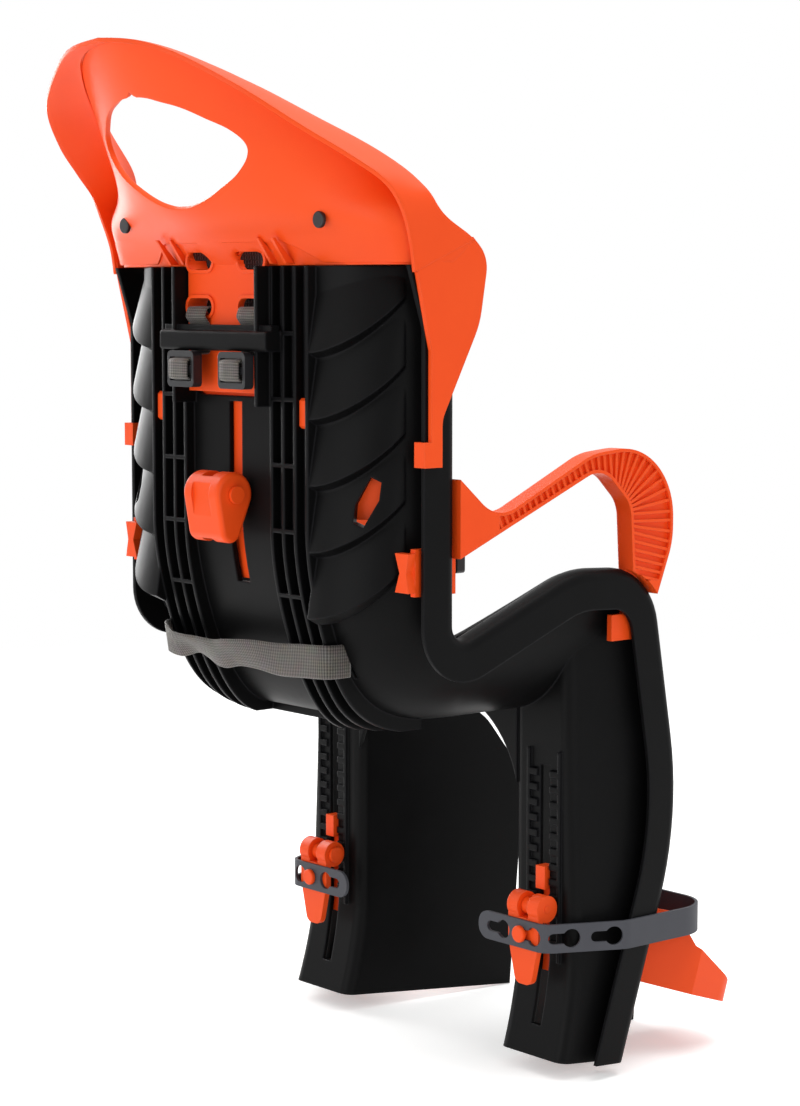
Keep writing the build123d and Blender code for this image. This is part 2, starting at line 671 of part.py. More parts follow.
def guide_clip():
    panel = BACK_REAR + WALL + CLEAR + 1
    neck = block((CLIP_X - CLIP_NECK / 2, CLIP_X + CLIP_NECK / 2), (BACK_REAR - CLEAR - 1, panel), (CLIP_Z - 9, CLIP_Z + 9))
    head = block(
        (CLIP_X - CLIP_HEAD / 2, CLIP_X + CLIP_HEAD / 2),
        (BACK_REAR - CLEAR - CLIP_THICK, BACK_REAR - CLEAR), (CLIP_Z - 11, CLIP_Z + 11),
    )
    head = chamfer(head.edges().filter_by(Axis.X).group_by(Axis.Y)[0], 2)
    return neck + head


def tongue():
    """Strip behind the shell's centre slot, and the stem that carries the cam lever."""
    level = BUCKET_LEVELS[-1]
    high = PAN_BOTTOM + level[0] + WALL + 6
    low = CENTRE_SLOT_Z[0] + 2
    rear = BACK_REAR + WALL + CLEAR
    lean = TONGUE_LEAN
    strip = side_plate(
        Polyline((rear, high), (rear + lean, low), (rear + lean + HEAD_WALL, low), (rear + HEAD_WALL, high), close=True),
        -TONGUE_HALF, TONGUE_HALF,
    )
    pin_y = back_pin_y()
    stem = block((-STEM_HALF, STEM_HALF), (pin_y, rear + 1), (BACK_LEVER_Z - 6, BACK_LEVER_Z + 6))
    eye = Pos(0, pin_y, BACK_LEVER_Z) * Rot(0, 90, 0) * Cylinder(BACK_EYE, 2 * STEM_HALF)
    bore = Pos(0, pin_y, BACK_LEVER_Z) * Rot(0, 90, 0) * Cylinder(BACK_PIN_R, 4 * STEM_HALF)
    return strip + stem + eye, bore


def back_pin_y():
    return BACK_REAR - CLEAR - BACK_CAM


def fin(x):
    base = BACK_TOP + CLEAR + 1
    line = Polyline((BACK_REAR, base), (BACK_REAR - RIB_PROUD, base), (BACK_REAR - 26, base + FIN_HEIGHT), close=True)
    return side_plate(line, x - RIB_WALL / 2, x + RIB_WALL / 2)


def backrest():
    scoop = loft([head_plan(*level) for level in HEAD_LEVELS])
    side = head_side()
    scoop = scoop & side & head_arch()
    plate, hook = wing()
    outside, inside = notch_box()
    strip, bore = tongue()
    panel = inner_panel() + shoulder() + outside - inside
    panel += both_sides(plate & side)
    panel += both_sides(hook + guide_clip())
    panel += strip
    for x in FIN_XS:
        panel += both_sides(fin(x))
    panel += scoop
    panel += harness_slots(SLOT_LIP, RIB_PROUD + 1.5) & block((-80, 80), (BACK_REAR - RIB_PROUD - 1.5, BACK_REAR - RIB_PROUD + 1), (0, 400))
    panel -= extrude(hole_plane() * hole_face(), 60, both=True)
    panel -= harness_slots(0, 60)
    panel -= bore
    boss, hole = stud_boss()
    return panel + both_sides(boss) - both_sides(hole)


def x_rod(radius, x_from, x_to, y, z):
    return Pos((x_from + x_to) / 2, y, z) * Rot(0, 90, 0) * Cylinder(radius, x_to - x_from)


# Cam lever of the backrest

def back_lever():
    y = back_pin_y()
    cam = Pos(y, BACK_LEVER_Z) * Circle(BACK_CAM)
    tab = Pos(y - 3, BACK_LEVER_Z - BACK_TAB + BACK_TAB_R) * Circle(BACK_TAB_R)
    profile = make_hull(cam.edges() + tab.edges())
    body = extrude(Plane.YZ * profile, BACK_LEVER_HALF, both=True)
    body = fillet(body.edges().filter_by(lambda e: abs(abs(e.center().X) - BACK_LEVER_HALF) < 0.01), 3.5)
    gap = block(
        (-STEM_HALF - CLEAR, STEM_HALF + CLEAR), (y - BACK_EYE - 1.5, y + 3 * BACK_CAM),
        (BACK_LEVER_Z - BACK_TAB - 20, BACK_LEVER_Z + 3 * BACK_CAM),
    )
    waist = block(
        (-STEM_HALF - 5, STEM_HALF + 5), (y - 3 * BACK_CAM, y - BACK_CAM + 2.5),
        (BACK_LEVER_Z - BACK_TAB - 20, BACK_LEVER_Z + 3 * BACK_CAM),
    )
    return body - gap - waist - x_rod(BACK_PIN_R + PIN_FIT, -40, 40, y, BACK_LEVER_Z)


def back_pin():
    y = back_pin_y()
    half = BACK_LEVER_HALF + CLEAR
    rod = x_rod(BACK_PIN_R, -half, half + 1, y, BACK_LEVER_Z)
    return rod + x_rod(PIN_HEAD_R, half, half + PIN_HEAD, y, BACK_LEVER_Z)


# Armrests

def crown_region(gap):
    """Everything inside the rim's crown line, grown by a gap, in side view."""
    points, radii = rim_line()
    moved, rounds = parallel(points, radii, gap)
    run = FilletPolyline(*moved, radius=rounds)
    closing = Polyline(moved[-1], (BACK_REAR - 80, moved[-1][1]), (BACK_REAR - 80, moved[0][1]), moved[0])
    return side_plate(run.edges() + closing.edges(), RIM_X - 60, RIM_X + 60)


def arm_outline():
    outer = FilletPolyline(*ARM_OUTER, radius=list(ARM_OUTER_ROUNDS))
    inner = FilletPolyline(*ARM_INNER, radius=list(ARM_INNER_ROUNDS))
    ends = Line(ARM_OUTER[-1], ARM_INNER[0]).edges() + Line(ARM_INNER[-1], ARM_OUTER[0]).edges()
    return make_face(outer.edges() + inner.edges() + ends)


def arm_ribs():
    line = FilletPolyline(*ARM_RIB_LINE, radius=list(ARM_RIB_ROUNDS))
    wire = Wire(line.edges())
    count = int(wire.length / ARM_RIB_PITCH)
    ribs = Part()
    plates = []
    for index in range(count + 1):
        share = index / count
        at = wire.position_at(share)
        along = wire.tangent_at(share)
        turn = math.degrees(math.atan2(along.Y, along.X))
        plate = Box(ARM_RECESS + 2, ARM_RIB_WALL, 80)
        plates.append(Pos(ARM_X[1] - ARM_RECESS / 2 - 0.6, at.X, at.Y) * Rot(turn, 0, 0) * plate)
    return Compound(plates)


def tail_x():
    outer = RIM_X + RIM_WIDTH - RIM_WALL - TAIL_GAP
    return (outer - TAIL_WALL, outer)


def rim_tails():
    """Tails of the arm loop inside the rim's hollow: one behind the back edge, one under the knee."""
    x = tail_x()
    skirt = RIM_FRONT - RIM_SKIRT
    rear = block(x, (skirt - 3, RIM_FRONT + 4), TAIL_Z)
    middle = (TAIL_Z[0] + TAIL_Z[1]) / 2
    head_profile = Polyline(
        (x[0] - 9, middle - 14), (x[1] + 1, middle - 14), (x[1] - 2, middle), (x[1] + 1, middle + 14),
        (x[0] - 9, middle + 14), (x[0] - 4, middle), close=True,
    )
    head = extrude(Plane.XZ.offset(-(skirt - 3)) * make_face(head_profile), TAIL_HEAD)
    knee = block(x, KNEE_TAIL_Y, (KNEE_TAIL_Z, KNEE[1] + 12))
    toe = block(x, (KNEE_TAIL_Y[0] - KNEE_TOE[0], KNEE_TAIL_Y[1]), (KNEE_TAIL_Z, KNEE_TAIL_Z + KNEE_TOE[1]))
    return rear + head, knee + toe


def tail_slots():
    """Openings in the rim's crown for the two tails."""
    x = (tail_x()[0] - CLEAR, tail_x()[1] + CLEAR)
    rear = block(x, (RIM_FRONT - RIM_WALL - 2, RIM_FRONT + 2), (TAIL_Z[0] - CLEAR, TAIL_Z[1] + CLEAR))
    knee = block(x, (KNEE_TAIL_Y[0] - CLEAR, KNEE_TAIL_Y[1] + CLEAR), (KNEE_TAIL_Z + 8, 140))
    return rear + knee


def armrest():
    face = arm_outline()
    loop = extrude(Plane.YZ.offset(ARM_X[0]) * face, ARM_X[1] - ARM_X[0])
    ends = loop.edges().filter_by(lambda e: abs(e.center().X - ARM_X[0]) < 0.01)
    loop = fillet(ends, ARM_FILLET)
    core = offset(face, -ARM_EDGE)
    recess = extrude(Plane.YZ.offset(ARM_X[1] - ARM_RECESS) * core, ARM_RECESS + 1)
    recess = recess & block((100, 200), (ARM_RIB_LINE[0][0] - 3, 300), (ARM_RIB_LINE[-1][1] - 3, 300))
    ribs = arm_ribs() & extrude(Plane.YZ.offset(ARM_X[1] - ARM_RECESS - 0.5) * core, ARM_RECESS - 0.3)
    loop = loop - recess
    loop += ribs
    loop -= crown_region(CLEAR)
    rear, knee = rim_tails()
    return loop + rear + knee


# Footrests

def foot_pin_y():
    return LEG_REAR_Y - TOOTH_PROUD - CLEAR - FOOT_CAM


def tab_rear_y():
    return foot_pin_y() - FOOT_CAM + 1.5


def sole_point(along, above):
    """Side view position (y, z) of a point given along and above the sloping sole."""
    tilt = math.radians(FOOT_TILT)
    return (
        SOLE_PIVOT[0] + along * math.cos(tilt) + above * math.sin(tilt),
        SOLE_PIVOT[1] - along * math.sin(tilt) + above * math.cos(tilt),
    )


def foot_cup():
    """Sloping sole with a rim all round and high walls beside the foot."""
    tilt = math.radians(FOOT_TILT)
    plane = Plane(origin=(0, *SOLE_PIVOT), x_dir=(1, 0, 0), z_dir=(0, math.sin(tilt), math.cos(tilt)))
    outline = Polyline(
        (SOLE_REAR_X[0], SOLE_REAR), (SOLE_REAR_X[1], SOLE_REAR), (SOLE_REAR_X[1], SOLE_NARROW),
        (SOLE_FRONT_X[1], SOLE_WIDE), (SOLE_FRONT_X[1] - CUP_WALL, SOLE_FRONT), (SOLE_FRONT_X[0] + CUP_WALL, SOLE_FRONT),
        (SOLE_FRONT_X[0], SOLE_NARROW), close=True,
    )
    face = make_face(outline)
    face = fillet(face.vertices().group_by(Axis.Y)[-1], SOLE_CORNER)
    inside = offset(face, -CUP_WALL)
    tray = extrude(plane * face, SOLE_RIM) - extrude(plane.offset(SOLE_WALL) * inside, SOLE_RIM)
    high = max(above for along, above in CUP_LINE)
    side = side_plate(
        Polyline(*[sole_point(*point) for point in CUP_LINE], close=True), SOLE_REAR_X[0] - 1, SOLE_FRONT_X[1] + 1
    )
    return tray + (extrude(plane * (face - inside), high) & side)


def footrest():
    x = LADDER_X
    front = LEG_REAR_Y + WALL + CLEAR
    carrier = block((x - CARRIER_HALF, x + CARRIER_HALF), (front, front + CARRIER_WALL), CARRIER_Z)
    carrier = fillet(carrier.edges().filter_by(Axis.Y).group_by(Axis.Z)[-1], 12)
    stem = block((x - FOOT_STEM_HALF, x + FOOT_STEM_HALF), (foot_pin_y(), front + 1), (FOOT_PIN_Z - 5, FOOT_PIN_Z + 5))
    stem += x_rod(FOOT_EYE, x - FOOT_STEM_HALF, x + FOOT_STEM_HALF, foot_pin_y(), FOOT_PIN_Z)
    key = block(
        (x - FOOT_STEM_HALF, x + FOOT_STEM_HALF), (LEG_REAR_Y - 5, front + 1),
        (FOOT_PIN_Z + KEY_Z[0], FOOT_PIN_Z + KEY_Z[1]),
    )
    rest = foot_cup() + carrier + stem + key
    return rest - x_rod(FOOT_PIN_R, x - 40, x + 40, foot_pin_y(), FOOT_PIN_Z)


def foot_lever():
    x = LADDER_X
    y = foot_pin_y()
    cheeks = x_rod(FOOT_CAM, x - FOOT_LEVER_HALF, x + FOOT_LEVER_HALF, y, FOOT_PIN_Z)
    rear = tab_rear_y()
    low = FOOT_PIN_Z - FOOT_TAB
    half = FOOT_LEVER_HALF
    shield = Polyline(
        (x - half, FOOT_PIN_Z), (x - half, FOOT_PIN_Z - 26), (x - half * 0.5, low), (x + half * 0.5, low),
        (x + half, FOOT_PIN_Z - 26), (x + half, FOOT_PIN_Z), close=True,
    )
    face = make_face(shield)
    face = fillet(face.vertices().group_by(Axis.Y)[0], 7)
    face = fillet(face.vertices().group_by(Axis.Y)[-2], 10)
    plate = extrude(Plane.XZ.offset(-rear) * face, -FOOT_TAB_THICK)
    gap = block(
        (x - FOOT_STEM_HALF - CLEAR, x + FOOT_STEM_HALF + CLEAR), (rear - 5, y + 3 * FOOT_CAM),
        (FOOT_PIN_Z - FOOT_EYE - 1.5, FOOT_PIN_Z + 3 * FOOT_CAM),
    )
    lever = cheeks + plate - gap
    button_z = FOOT_PIN_Z - 20
    length = STRAP_THICK + 2 * CLEAR
    stem = Pos(x, rear - length / 2, button_z) * Rot(90, 0, 0) * Cylinder(BUTTON_STEM_R, length + 1)
    head = Pos(x, rear - length - BUTTON_HEAD / 2, button_z) * Rot(90, 0, 0) * Cylinder(BUTTON_R, BUTTON_HEAD)
    head = fillet(head.edges().group_by(Axis.Y)[0], 1.2)
    return lever + stem + head - x_rod(FOOT_PIN_R + PIN_FIT, x - 40, x + 40, y, FOOT_PIN_Z)


def foot_pin():
    x = LADDER_X
    half = FOOT_LEVER_HALF + CLEAR
    rod = x_rod(FOOT_PIN_R, x - half - 1, x + half, foot_pin_y(), FOOT_PIN_Z)
    return rod + x_rod(PIN_HEAD_R, x - half - PIN_HEAD, x - half, foot_pin_y(), FOOT_PIN_Z)


def strap_line():
    rear = tab_rear_y() - CLEAR - STRAP_THICK
    outer = RIM_X + RIM_WIDTH + CLEAR + STRAP_THICK
    inner = SOLE_FRONT_X[0] + CUP_WALL + CLEAR + STRAP_THICK
    return [
        (STRAP_FREE_X, rear), (LADDER_X + STRAP_BEND, rear), (outer, rear + STRAP_SIDE_Y), (outer, STRAP_FRONT_Y),
        (inner, STRAP_FRONT_Y), (inner, STRAP_END_Y),
    ]


def keyhole(start, towards, distance, z):
    """Cut for one keyhole, its narrow end at a distance along the strap from a start point."""
    length = math.hypot(towards[0] - start[0], towards[1] - start[1])
    along = ((towards[0] - start[0]) / length, (towards[1] - start[1]) / length)
    plane = Plane(
        origin=(start[0] + along[0] * distance, start[1] + along[1] * distance, z),
        x_dir=(along[0], along[1], 0), z_dir=(along[1], -along[0], 0),
    )
    face = Pos(2 * KEYHOLE_R, 0) * Circle(KEYHOLE_R) + Pos(KEYHOLE_R, 0) * Rectangle(2 * KEYHOLE_R, 2 * BUTTON_STEM_R + 1)
    face += Circle(BUTTON_STEM_R + CLEAR)
    return extrude(plane * face, 2 * STRAP_THICK, both=True)


def foot_strap():
    middle = FOOT_PIN_Z - 20
    line = strap_line()
    band = channel(line, list(STRAP_ROUNDS), STRAP_THICK)
    strap = Pos(0, 0, middle - STRAP_BAND / 2) * extrude(band, STRAP_BAND)
    button = LADDER_X - STRAP_FREE_X
    strap -= keyhole(line[0], line[1], button - KEYHOLE_PITCH, middle)
    strap -= keyhole(line[0], line[1], button, middle)
    strap -= keyhole(line[1], line[2], KEYHOLE_PITCH - STRAP_BEND, middle)
    strap -= keyhole(line[1], line[2], 2 * KEYHOLE_PITCH - STRAP_BEND, middle)
    ends = strap.edges().filter_by(Axis.Y).sort_by(Axis.X)[:2]
    return fillet(ends, STRAP_BAND / 2 - 0.5)


# Harness, webbing and pads

def web_band(points, radii, x_centre):
    """Webbing that runs in a plane of constant x."""
    face = channel(points, radii, WEB_THICK)
    return extrude(Plane.YZ.offset(x_centre - WEB_WIDTH / 2) * face, WEB_WIDTH)


def strap_points():
    bar_rear = BACK_REAR - BAR_PROUD
    bar_top = BAR_Z + BAR_HEIGHT + 4
    pad_front = BACK_REAR + WALL + CLEAR + HEAD_WALL + CLEAR + PAD_THICK
    return [
        (bar_rear - CLEAR, LOCK_Z + 3), (bar_rear - CLEAR, bar_top + CLEAR), (BACK_REAR - RIB_PROUD - 6, bar_top + CLEAR + 6),
        (BACK_REAR, SLOT_ZS[0] - 1), (pad_front + CLEAR, SLOT_ZS[0] - 1), (pad_front + CLEAR, 215),
        (CROTCH_Y - WEB_THICK / 2, BUCKLE_Z + 62), (CROTCH_Y - WEB_THICK / 2, BUCKLE_Z + BUCKLE[2] / 2 + 8),
    ]


def shoulder_strap():
    return web_band(strap_points(), [3, 6, 5, 6, 60, 30], STRAP_X)


def strap_lock():
    """Ladder-lock slide: a frame with a middle bar, slotted for the webbing."""
    width, depth, height = LOCK_SIZE
    y = BACK_REAR - BAR_PROUD - CLEAR - WEB_THICK / 2
    body = Box(width, depth, height)
    body = fillet(body.edges().filter_by(Axis.Y), 4)
    window = Box(WEB_WIDTH + 2, depth + 2, 6.5)
    body -= Pos(0, 0, height / 4 - 1) * window + Pos(0, 0, -height / 4 + 1) * window
    body -= Pos(0, 0, height / 4 + 5) * Box(WEB_WIDTH + 2, WEB_THICK + 2 * CLEAR, height / 2)
    return Pos(STRAP_X, y, LOCK_Z) * body


def harness_buckle():
    width, depth, height = BUCKLE
    body = Box(width, depth, height)
    body = fillet(body.edges().filter_by(Axis.Y), 9)
    body = fillet(body.edges().group_by(Axis.Y)[0] + body.edges().group_by(Axis.Y)[-1], 3)
    well = Pos(0, depth / 2, -4) * Box(BUTTON_SIZE[0] + 2 * CLEAR, depth - 1, BUTTON_SIZE[1] + 2 * CLEAR)
    mouths = both_sides(Pos(TONGUE_X, 0, height / 2) * Box(TONGUE_WIDTH + 2 * CLEAR, TONGUE_THICK + 2 * CLEAR, 34))
    tail = Pos(0, 0, -height / 2) * Box(WEB_WIDTH + 1, WEB_THICK + 2 * CLEAR, 14)
    return Pos(0, CROTCH_Y, BUCKLE_Z) * (body - well - mouths - tail)


def buckle_button():
    depth = BUCKLE[1]
    button = Pos(0, depth / 2 - 2.5 + CLEAR, -4) * Box(BUTTON_SIZE[0], 6, BUTTON_SIZE[1])
    button = fillet(button.edges().group_by(Axis.Y)[-1], 1.5)
    return Pos(0, CROTCH_Y, BUCKLE_Z) * button


def buckle_tongue():
    low = BUCKLE_Z + 10
    top = BUCKLE_Z + BUCKLE[2] / 2
    blade = block(
        (TONGUE_X - TONGUE_WIDTH / 2, TONGUE_X + TONGUE_WIDTH / 2),
        (CROTCH_Y - TONGUE_THICK / 2, CROTCH_Y + TONGUE_THICK / 2), (low, top + 4),
    )
    head = block(
        (TONGUE_X - TONGUE_WIDTH / 2, STRAP_X + WEB_WIDTH / 2 + 4),
        (CROTCH_Y - 4, CROTCH_Y + 4), (top + 1, top + 17),
    )
    head = fillet(head.edges().filter_by(Axis.Y), 3)
    slot = block(
        (STRAP_X - WEB_WIDTH / 2 - 1, STRAP_X + WEB_WIDTH / 2 + 1),
        (CROTCH_Y - WEB_THICK / 2 - CLEAR, CROTCH_Y + WEB_THICK / 2 + CLEAR), (top + 6, top + 30),
    )
    return blade + head - slot


def crotch_strap():
    low = PAN_BOTTOM - 3
    high = BUCKLE_Z - BUCKLE[2] / 2 + 6
    web = block((-WEB_WIDTH / 2, WEB_WIDTH / 2), (CROTCH_Y - WEB_THICK / 2, CROTCH_Y + WEB_THICK / 2), (low, high))
    stop = block((-WEB_WIDTH / 2 - 5, WEB_WIDTH / 2 + 5), (CROTCH_Y - 5, CROTCH_Y + 5), (low - 3, PAN_BOTTOM - CLEAR))
    return web + fillet(stop.edges().filter_by(Axis.Z), 3)


def retaining_strap():
    rear = BACK_REAR + RETAIN_REAR
    inside = rear + RETAIN_DEPTH
    points = [(RETAIN_X, inside), (RETAIN_X, rear), (-RETAIN_X, rear), (-RETAIN_X, inside)]
    band = channel(points, 4.0, WEB_THICK)
    return Pos(0, 0, RETAIN_Z - WEB_WIDTH / 2) * extrude(band, WEB_WIDTH)


def back_pad():
    rear = BACK_REAR + WALL + CLEAR + HEAD_WALL + CLEAR
    front = rear + PAD_THICK
    line = Polyline(
        (rear, PAD_LOW), (rear, BACK_TOP + 10), (rear - 5, PAD_HIGH), (front - 7, PAD_HIGH + 4), (front, BACK_TOP),
        (front, PAD_LOW), close=True,
    )
    pad = side_plate(line, -PAD_HALF, PAD_HALF)
    pad = fillet(pad.edges().filter_by(Axis.Y), 20)
    holes = Part()
    for side in (-1, 1):
        face = SlotOverall(SLOT_WIDTH + 6, SLOT_HEIGHT + 4)
        holes += Pos(side * STRAP_X, rear, SLOT_ZS[0]) * (Plane.XZ * extrude(face, 60, both=True))
    return pad - holes


def seat_pad():
    middle = PAN_FRONT - SEAT_PAD_BACK - SEAT_PAD[1] / 2
    pad = Pos(0, middle, PAN_BOTTOM + WALL + CLEAR) * extrude(RectangleRounded(*SEAT_PAD, 40), SEAT_PAD_THICK)
    pad = fillet(pad.edges().group_by(Axis.Z)[-1], 6)
    return pad - block((-WEB_WIDTH / 2 - 3, WEB_WIDTH / 2 + 3), (CROTCH_Y - 5, CROTCH_Y + 5), (0, 60))


def stud_boss():
    boss = Pos(STUD_X, BACK_REAR - 4, STUD_Z) * Rot(90, 0, 0) * Cylinder(STUD_R + 3, 2 * (STUD_FACE - 4))
    hole = Pos(STUD_X, BACK_REAR, STUD_Z) * Rot(90, 0, 0) * Cylinder(STUD_SHANK + PIN_FIT, 80)
    return boss, hole


def pad_stud():
    face = BACK_REAR - STUD_FACE
    head = Pos(STUD_X, face - STUD_HEAD / 2 - 0.1, STUD_Z) * Rot(90, 0, 0) * Cylinder(STUD_R, STUD_HEAD)
    head = fillet(head.edges().group_by(Axis.Y)[0], 1)
    shank = Pos(STUD_X, face + STUD_LENGTH / 2 - 1, STUD_Z) * Rot(90, 0, 0) * Cylinder(STUD_SHANK, STUD_LENGTH)
    return head + shank


def main():
    centre = (
        seat_shell, backrest, back_lever, back_pin, harness_buckle, buckle_button, crotch_strap, retaining_strap,
        back_pad, seat_pad,
    )
    sided = (
        armrest, footrest, foot_lever, foot_pin, foot_strap, shoulder_strap, strap_lock, buckle_tongue, pad_stud,
    )
    os.makedirs("parts", exist_ok=True)
    for make in centre:
        export_step(make(), f"parts/{make.__name__}.step")
    for make in sided:
        right = make()
        export_step(right, f"parts/{make.__name__}_right.step")
        export_step(mirror(right, Plane.YZ), f"parts/{make.__name__}_left.step")


main()
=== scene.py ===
import json
import math

import bmesh
import bpy
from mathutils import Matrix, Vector
from mathutils.bvhtree import BVHTree


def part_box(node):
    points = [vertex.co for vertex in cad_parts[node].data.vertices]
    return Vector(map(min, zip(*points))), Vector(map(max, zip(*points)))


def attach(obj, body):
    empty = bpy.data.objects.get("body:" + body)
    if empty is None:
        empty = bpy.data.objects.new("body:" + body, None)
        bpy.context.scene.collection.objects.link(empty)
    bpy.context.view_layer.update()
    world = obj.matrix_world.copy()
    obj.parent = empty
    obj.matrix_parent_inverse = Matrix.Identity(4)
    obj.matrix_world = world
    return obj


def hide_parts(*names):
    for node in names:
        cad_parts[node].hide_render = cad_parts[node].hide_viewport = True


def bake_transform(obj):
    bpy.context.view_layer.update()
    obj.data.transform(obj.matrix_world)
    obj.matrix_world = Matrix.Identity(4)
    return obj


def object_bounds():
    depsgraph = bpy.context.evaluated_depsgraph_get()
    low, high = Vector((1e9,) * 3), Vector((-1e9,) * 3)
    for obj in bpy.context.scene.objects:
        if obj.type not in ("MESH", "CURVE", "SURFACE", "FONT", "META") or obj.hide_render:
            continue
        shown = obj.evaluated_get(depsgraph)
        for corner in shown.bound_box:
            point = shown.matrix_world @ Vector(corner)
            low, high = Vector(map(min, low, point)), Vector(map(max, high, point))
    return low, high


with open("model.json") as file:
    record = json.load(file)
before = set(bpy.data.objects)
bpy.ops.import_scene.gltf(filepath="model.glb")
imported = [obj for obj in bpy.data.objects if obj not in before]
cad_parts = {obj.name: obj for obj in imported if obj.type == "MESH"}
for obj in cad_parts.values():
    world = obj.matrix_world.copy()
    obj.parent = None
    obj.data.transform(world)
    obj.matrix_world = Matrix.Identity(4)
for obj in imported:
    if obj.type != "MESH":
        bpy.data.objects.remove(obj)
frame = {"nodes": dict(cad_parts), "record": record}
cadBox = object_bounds()
nodes = frame["nodes"]
scene = bpy.context.scene
print("frame:", len(nodes), "solids")


def linear(hexColour):
    # an sRGB hex colour as the linear values that a socket takes
    parts = [int(hexColour[i:i + 2], 16) / 255 for i in (1, 3, 5)]
    return tuple(c / 12.92 if c <= 0.04045 else ((c + 0.055) / 1.055) ** 2.4 for c in parts) + (1.0,)


def addNode(tree, kind, settings=None, links=None):
    # a setting goes to the socket of that name or number, or else to the node itself
    node = tree.nodes.new(kind)
    for key, value in (settings or {}).items():
        if isinstance(key, int) or key in node.inputs:
            node.inputs[key].default_value = value
        else:
            setattr(node, key, value)
    for key, source in (links or {}).items():
        tree.links.new(source, node.inputs[key])
    return node


def newMaterial(name):
    material = bpy.data.materials.new(name)
    material.use_nodes = True
    return material, material.node_tree, material.node_tree.nodes["Principled BSDF"]


def newPiece(name, mesh, material, body):
    piece = bpy.data.objects.new(name, mesh)
    scene.collection.objects.link(piece)
    mesh.materials.clear()
    mesh.materials.append(material)
    if body:
        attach(piece, body)
    return piece


def newMesh(name, bm):
    mesh = bpy.data.meshes.new(name)
    bm.to_mesh(mesh)
    bm.free()
    return mesh


mergeDistance = 1e-5  # metres, between the points that a solid's faces share


def solidForm(node):
    bm = bmesh.new()
    bm.from_mesh(nodes[node].data)
    bmesh.ops.remove_doubles(bm, verts=bm.verts, dist=mergeDistance)
    return bm


mouldedCommon = {
    # the rounded normal against the flat one, where an edge starts to turn paler and where it is fully so;
    # the paler edge is partly rubbed wear and partly painted highlight
    "turned": (0.98, 0.80),
    "bevelSamples": 6, "cloudDetail": 3.0, "grainDetail": 2.0, "grainDepth": 0.0003,  # metres
}


def moulded(name, look):
    common = mouldedCommon
    material, tree, shader = newMaterial(name)
    where = addNode(tree, "ShaderNodeTexCoord").outputs["Object"]
    cloud = addNode(tree, "ShaderNodeTexNoise",
                    {"Scale": 1000 / look["cloudMm"], "Detail": common["cloudDetail"]}, {"Vector": where})
    body = addNode(tree, "ShaderNodeMix",
                   {"data_type": "RGBA", 6: linear(look["deep"]), 7: linear(look["pale"])},
                   {0: cloud.outputs["Fac"]})
    rounded = addNode(tree, "ShaderNodeBevel",
                      {"samples": common["bevelSamples"], "Radius": look["edgeMm"] / 1000})
    flat = addNode(tree, "ShaderNodeNewGeometry")
    turn = addNode(tree, "ShaderNodeVectorMath", {"operation": "DOT_PRODUCT"},
                   {0: rounded.outputs["Normal"], 1: flat.outputs["Normal"]})
    # painted highlight, partly rubbed wear: where the rounded normal turns from the flat one, at edges, the
    # colour is mixed toward the paler edge colour
    edge = addNode(tree, "ShaderNodeMapRange",
                   {"From Min": common["turned"][0], "From Max": common["turned"][1], "To Max": look["rubAndHighlight"]},
                   {"Value": turn.outputs["Value"]})
    colour = addNode(tree, "ShaderNodeMix", {"data_type": "RGBA", 7: linear(look["edge"])},
                     {0: edge.outputs["Result"], 6: body.outputs[2]})
    gloss = addNode(tree, "ShaderNodeMapRange",
                    {"To Min": look["roughness"][0], "To Max": look["roughness"][1]},
                    {"Value": cloud.outputs["Fac"]})
    grain = addNode(tree, "ShaderNodeTexNoise",
                    {"Scale": 1000 / look["grainMm"], "Detail": common["grainDetail"]}, {"Vector": where})
    bump = addNode(tree, "ShaderNodeBump", {"Strength": look["grain"], "Distance": common["grainDepth"]},
                   {"Height": grain.outputs["Fac"], "Normal": rounded.outputs["Normal"]})
    shader.inputs["IOR"].default_value = look["ior"]
    shader.inputs["Specular IOR Level"].default_value = look["specular"]
    tree.links.new(colour.outputs[2], shader.inputs["Base Color"])
    tree.links.new(gloss.outputs["Result"], shader.inputs["Roughness"])
    tree.links.new(bump.outputs["Normal"], shader.inputs["Normal"])
    return material


# injection-moulded polypropylene: a deep satin black, a fine spark-eroded grain and paler edges, partly
# rubbed wear and partly painted highlight
blackPolypropylene = moulded("black_polypropylene_moulded", {
    "deep": "#080808", "pale": "#0E0E0F", "edge": "#26262A", "rubAndHighlight": 0.5, "edgeMm": 2.2, "cloudMm": 45.0,
    "roughness": (0.36, 0.48), "grainMm": 1.1, "grain": 0.10, "ior": 1.49, "specular": 0.07,
})
# the same plastic dyed orange: even, strong colour with a soft wide shine
orangePolypropylene = moulded("orange_polypropylene_moulded", {
    "deep": "#EC4810", "pale": "#F25317", "edge": "#FA7038", "rubAndHighlight": 0.35, "edgeMm": 0.9, "cloudMm": 60.0,
    "roughness": (0.40, 0.50), "grainMm": 1.1, "grain": 0.08, "ior": 1.49, "specular": 0.22,
})
# moulded thermoplastic rubber: slate grey, dull, with a faint bloom
greyRubber = moulded("grey_rubber_moulded", {
    "deep": "#3A3B41", "pale": "#45464C", "edge": "#5A5B60", "rubAndHighlight": 0.4, "edgeMm": 0.5, "cloudMm": 18.0,
    "roughness": (0.52, 0.66), "grainMm": 0.8, "grain": 0.14, "ior": 1.52, "specular": 0.30,
})
# moulded nylon: small dark hardware, a little shinier than the shell
blackNylon = moulded("black_nylon_moulded", {
    "deep": "#1B1B1D", "pale": "#232326", "edge": "#55555A", "rubAndHighlight": 0.5, "edgeMm": 0.4, "cloudMm": 20.0,
    "roughness": (0.30, 0.42), "grainMm": 0.7, "grain": 0.06, "ior": 1.53, "specular": 0.35,
})
